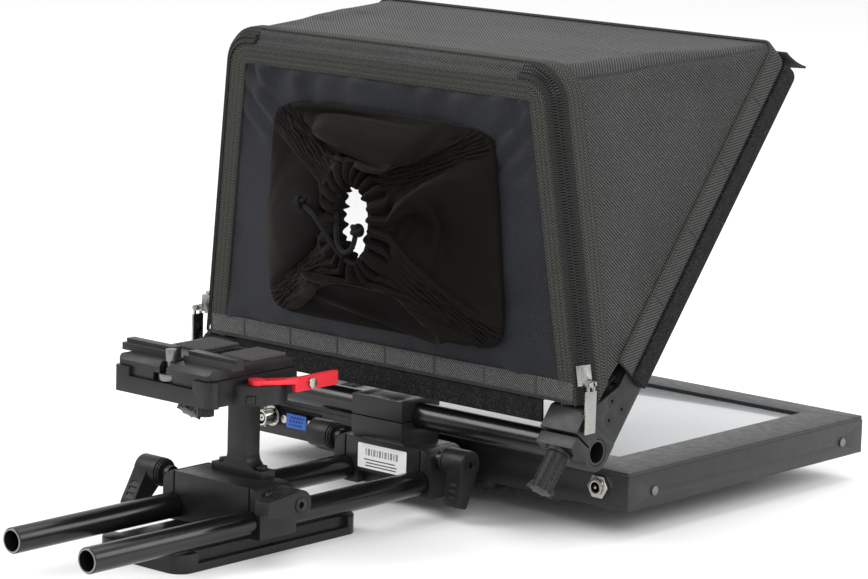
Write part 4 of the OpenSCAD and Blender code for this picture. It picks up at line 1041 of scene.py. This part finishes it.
def sleeve_gathered(i, j):
    """Where the drawn-in hem ends: tight, uneven pleats round the mouth."""
    t = j / SLEEVE_ALONG
    v = max(0.0, (t - BAND_FROM) / (1 - BAND_FROM))
    a = TAU * i / SLEEVE_AROUND
    hw, hh, off, height = mouth_profile(v)
    around = Vector((math.cos(a), math.sin(a), 0))
    phase = PLEATS * a + 2.4 * noise.noise(around * 1.9) + 0.9 * noise.noise(around * 4.0 + Vector((0, 0, v)))
    uneven = 1 + 0.6 * noise.noise(around * 5.0 + Vector((3, 0, 0)))
    pleat = math.sin(phase)
    radial = 1.3 * math.cos(phase * 0.5 + 2 * around.x) + 0.5 * pleat
    wander = 1 + 0.14 * noise.noise(around * 1.6 + Vector((0, 7, 0)))
    x = (hw * wander + radial * v) * math.cos(a)
    z = MOUTH_Z + (hh * wander + radial * v) * math.sin(a)
    return flap_at(x, z, off + pleat * height * uneven)


def grid_faces(n, m):
    return [
        (i * (m + 1) + j, ((i + 1) % n) * (m + 1) + j, ((i + 1) % n) * (m + 1) + j + 1, i * (m + 1) + j + 1)
        for i in range(n) for j in range(m)
    ]


def settle(piece, pins):
    """Draws the pinned hem in while the rest of the cloth falls into folds, then bakes the shape."""
    group = piece.vertex_groups.new(name="pins")
    for index in pins:
        group.add([index], 1.0, "REPLACE")
    piece.shape_key_add(name="Basis")
    drawn = piece.shape_key_add(name="drawn")
    for index in pins:
        drawn.data[index].co = pins[index]
    cloth = piece.modifiers.new("settle", "CLOTH")
    for key, value in CLOTH.items():
        setattr(cloth.settings, key, value)
    for key, value in CLOTH_CONTACT.items():
        setattr(cloth.collision_settings, key, value)
    wall = sim_wall()
    last = CLOSING_FRAMES + HELD_FRAMES
    cloth.point_cache.frame_start = 1
    cloth.point_cache.frame_end = last
    scene = bpy.context.scene
    for f in range(1, last + 1):
        drawn.value = smoothstep(0, 1, (f - 1) / CLOSING_FRAMES)
        drawn.keyframe_insert("value", frame=f)
    for f in range(1, last + 1):
        scene.frame_set(f)
    settled = piece.evaluated_get(bpy.context.evaluated_depsgraph_get()).to_mesh()
    points = [v.co.copy() for v in settled.vertices]
    piece.modifiers.clear()
    piece.shape_key_clear()
    scene.frame_set(1)
    bpy.data.objects.remove(wall)
    return points


def sim_wall():
    """The flap as a surface that the cloth can't pass."""
    wall = bpy.data.objects.new("wall", bpy.data.meshes.new("wall"))
    bpy.context.scene.collection.objects.link(wall)
    corners = ((-170, 60), (170, 60), (170, 300), (-170, 300))
    wall.data.from_pydata([flap_at(x, z) * SIM_UNIT for x, z in corners], [], [(0, 1, 2, 3)])
    wall.modifiers.new("hit", "COLLISION")
    wall.collision.thickness_outer = 0.01
    wall.collision.cloth_friction = 20
    return wall


def make_sleeve():
    n, m = SLEEVE_AROUND, SLEEVE_ALONG
    mesh = bpy.data.meshes.new("sleeve_velvet")
    points = [sleeve_straight(i, j) * SIM_UNIT for i in range(n) for j in range(m + 1)]
    mesh.from_pydata(points, [], grid_faces(n, m))
    fix_normals(mesh)
    layer = mesh.uv_layers.new(name="cloth")
    for loop in mesh.loops:
        i, j = divmod(loop.vertex_index, m + 1)
        layer.data[loop.index].uv = (i / n * SLEEVE_FLAT * 0.001, j / m * SLEEVE_LENGTH * 0.001)
    piece = link("sleeve_velvet", mesh, "back_flap", "velvet")
    pins = {}
    for i in range(n):
        for j in range(m + 1):
            if j <= 1:
                pins[i * (m + 1) + j] = sleeve_straight(i, j) * SIM_UNIT
            elif j / m > BAND_FROM + 0.05:
                pins[i * (m + 1) + j] = sleeve_gathered(i, j) * SIM_UNIT
    points = settle(piece, pins)
    # The photo's sleeve lies flatter than the settled cloth, so the depth past FREE_OFF is reduced.
    for v, p in zip(piece.data.vertices, points):
        here = p / SIM_UNIT
        base = flap_at(0, here.z).y
        off = base - here.y
        off = max(STITCHED_OFF, off if off < FREE_OFF else FREE_OFF + (off - FREE_OFF) * FLATTEN)
        v.co = Vector((here.x, base - off, here.z)) * 0.001
    solid = piece.modifiers.new("thickness", "SOLIDIFY")
    solid.thickness = mm(1.0)
    solid.offset = 0
    rounded = piece.modifiers.new("round", "SUBSURF")
    rounded.levels = rounded.render_levels = 1
    done = bpy.data.meshes.new_from_object(piece.evaluated_get(bpy.context.evaluated_depsgraph_get()))
    piece.modifiers.clear()
    piece.data = done
    smooth(piece.data, 80)
    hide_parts("camera_sleeve")


make_sleeve()


# -------------------- drawstring

CORD_R, KNOT_R = 1.6, 1.5
CORD_ROUTE = [
    (-33, 92, 184), (-25, 91.5, 180), (-18, 92.5, 172), (-11.5, 96, 162), (-5, 99, 154.5),
    (3, 99.5, 152.8), (10, 99.5, 159.5), (13.3, 99.5, 171), (13.3, 99.5, 185), (9.5, 99.5, 197),
    (1, 99.5, 203.3), (-8, 99.5, 199), (-12.8, 99.5, 187), (-12.3, 98.5, 175), (-8.5, 95, 165.5),
    (-1.5, 93, 160), (6, 92, 163), (9.5, 91.5, 171.5),
]


def spline_points(route, sub):
    """Smooth curve through the route's points."""
    route = [Vector(p) for p in route]
    last = len(route) - 1
    out = []
    for i in range(last):
        a, b, c, d = route[max(i - 1, 0)], route[i], route[i + 1], route[min(i + 2, last)]
        for k in range(sub):
            t = k / sub
            out.append(0.5 * (
                2 * b + (c - a) * t + (2 * a - 5 * b + 4 * c - d) * t * t
                + (3 * b - a - 3 * c + d) * t * t * t
            ))
    return out + [route[last]]


def tube_rings(path, radius, sides):
    """Rings of equal radius round a path."""
    turns = [TAU * j / sides for j in range(sides)]
    rings = []
    u = None
    for p, d in zip(path, tangents(path)):
        u = d.cross(Vector((0.1, 1, 0.05))).normalized() if u is None else (u - d * u.dot(d)).normalized()
        v = d.cross(u)
        rings.append([p + u * (radius * math.cos(a)) + v * (radius * math.sin(a)) for a in turns])
    return rings


def make_drawstring():
    path = spline_points(CORD_ROUTE, 8)
    mesh = mesh_of("drawstring_cord", *loft(tube_rings(path, CORD_R, 12)))
    cord = link("drawstring_cord", mesh, "back_flap", "cord_black")
    for label, at, d in (("left", path[0], path[0] - path[1]), ("right", path[-1], path[-1] - path[-2])):
        axis = unit(d)
        side = axis.cross(Vector((0, 1, 0.2))).normalized()
        other = axis.cross(side)
        centre = at + axis * 3.4
        loop = []
        for k in range(49):
            a = TAU * 2 * k / 48
            lobe = 2.5 + 0.7 * math.cos(1.5 * a)
            flat = side * (lobe * math.cos(a)) + other * (lobe * math.sin(a))
            loop.append(centre + flat + axis * (1.9 * math.sin(1.5 * a)))
        name = f"drawstring_knot_{label}"
        link(name, mesh_of(name, *loft(tube_rings(loop, KNOT_R, 10))), "back_flap", "cord_black")
    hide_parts("drawstring")


make_drawstring()


# -------------------- rating label

LABEL_THICK = 0.18


def make_label():
    """Pale plate on the front block with generic bars and lines."""
    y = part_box("front_rod_block")[0].y * 1000
    outline = []
    for cx, cz, a0 in ((18.6, 36.0, 0), (-18.8, 36.0, 90), (-18.8, 22.4, 180), (18.6, 22.4, 270)):
        for k in range(5):
            a = math.radians(a0 + 22.5 * k)
            outline.append((cx + 0.8 * math.cos(a), cz + 0.8 * math.sin(a)))
    rings = [[Vector((x, y - off, z)) for x, z in outline] for off in (0.0, LABEL_THICK)]
    link("rating_label", mesh_of("rating_label", *loft(rings)), "carriage", "anodised", "label")
    along, across, out = Vector((1, 0, 0)), Vector((0, 0, 1)), Vector((0, -1, 0))
    y -= LABEL_THICK
    lines = [(Vector((x, y, z)), along, across, out) for x, z in ((-2, 27.2), (-0.5, 25.2), (-1, 23.4))]
    bars("label_lines", lines, 25, 0.7, 0.04, "carriage", "anodised", "ink")
    stripes = [(Vector((-13 + 0.9 * k, y, 31.8)), along, across, out) for k in range(29) if k % 5 not in (1, 4)]
    bars("label_stripes", stripes, 0.62, 4.2, 0.04, "carriage", "anodised", "ink")


make_label()


# -------------------- studio

def make_studio():
    floor_mesh = bpy.data.meshes.new("floor")
    floor_mesh.from_pydata([(-9, -9, 0), (9, -9, 0), (9, 9, 0), (-9, 9, 0)], [], [(0, 1, 2, 3)])
    floor = bpy.data.objects.new("floor", floor_mesh)
    bpy.context.scene.collection.objects.link(floor)
    floor_mesh.materials.append(Shader("floor", Base_Color=(0.9, 0.9, 0.9, 1), Roughness=0.6).material)
    world = bpy.data.worlds.new("world")
    bpy.context.scene.world = world
    world.use_nodes = True
    sky = world.node_tree.nodes["Background"]
    sky.inputs["Color"].default_value = (1, 1, 1, 1)
    sky.inputs["Strength"].default_value = 0.95
    lights = (
        ("key", (-1.5, -1.3, 1.9), 1.6, 36),
        ("fill", (1.9, -1.0, 1.5), 1.6, 26),
        ("top", (0.1, 0.6, 2.4), 1.8, 18),
        ("edge", (1.8, 1.4, 1.2), 1.2, 14),
    )
    target = Vector((0, 0.12, 0.15))
    for name, at, size, power in lights:
        data = bpy.data.lights.new(name, "AREA")
        data.shape = "DISK"
        data.size = size
        data.energy = power
        lamp = bpy.data.objects.new(name, data)
        lamp.location = at
        lamp.rotation_euler = (target - Vector(at)).to_track_quat("-Z", "Y").to_euler()
        bpy.context.scene.collection.objects.link(lamp)
    view = bpy.context.scene.view_settings
    view.view_transform = "Standard"
    view.look = "None"


make_studio()
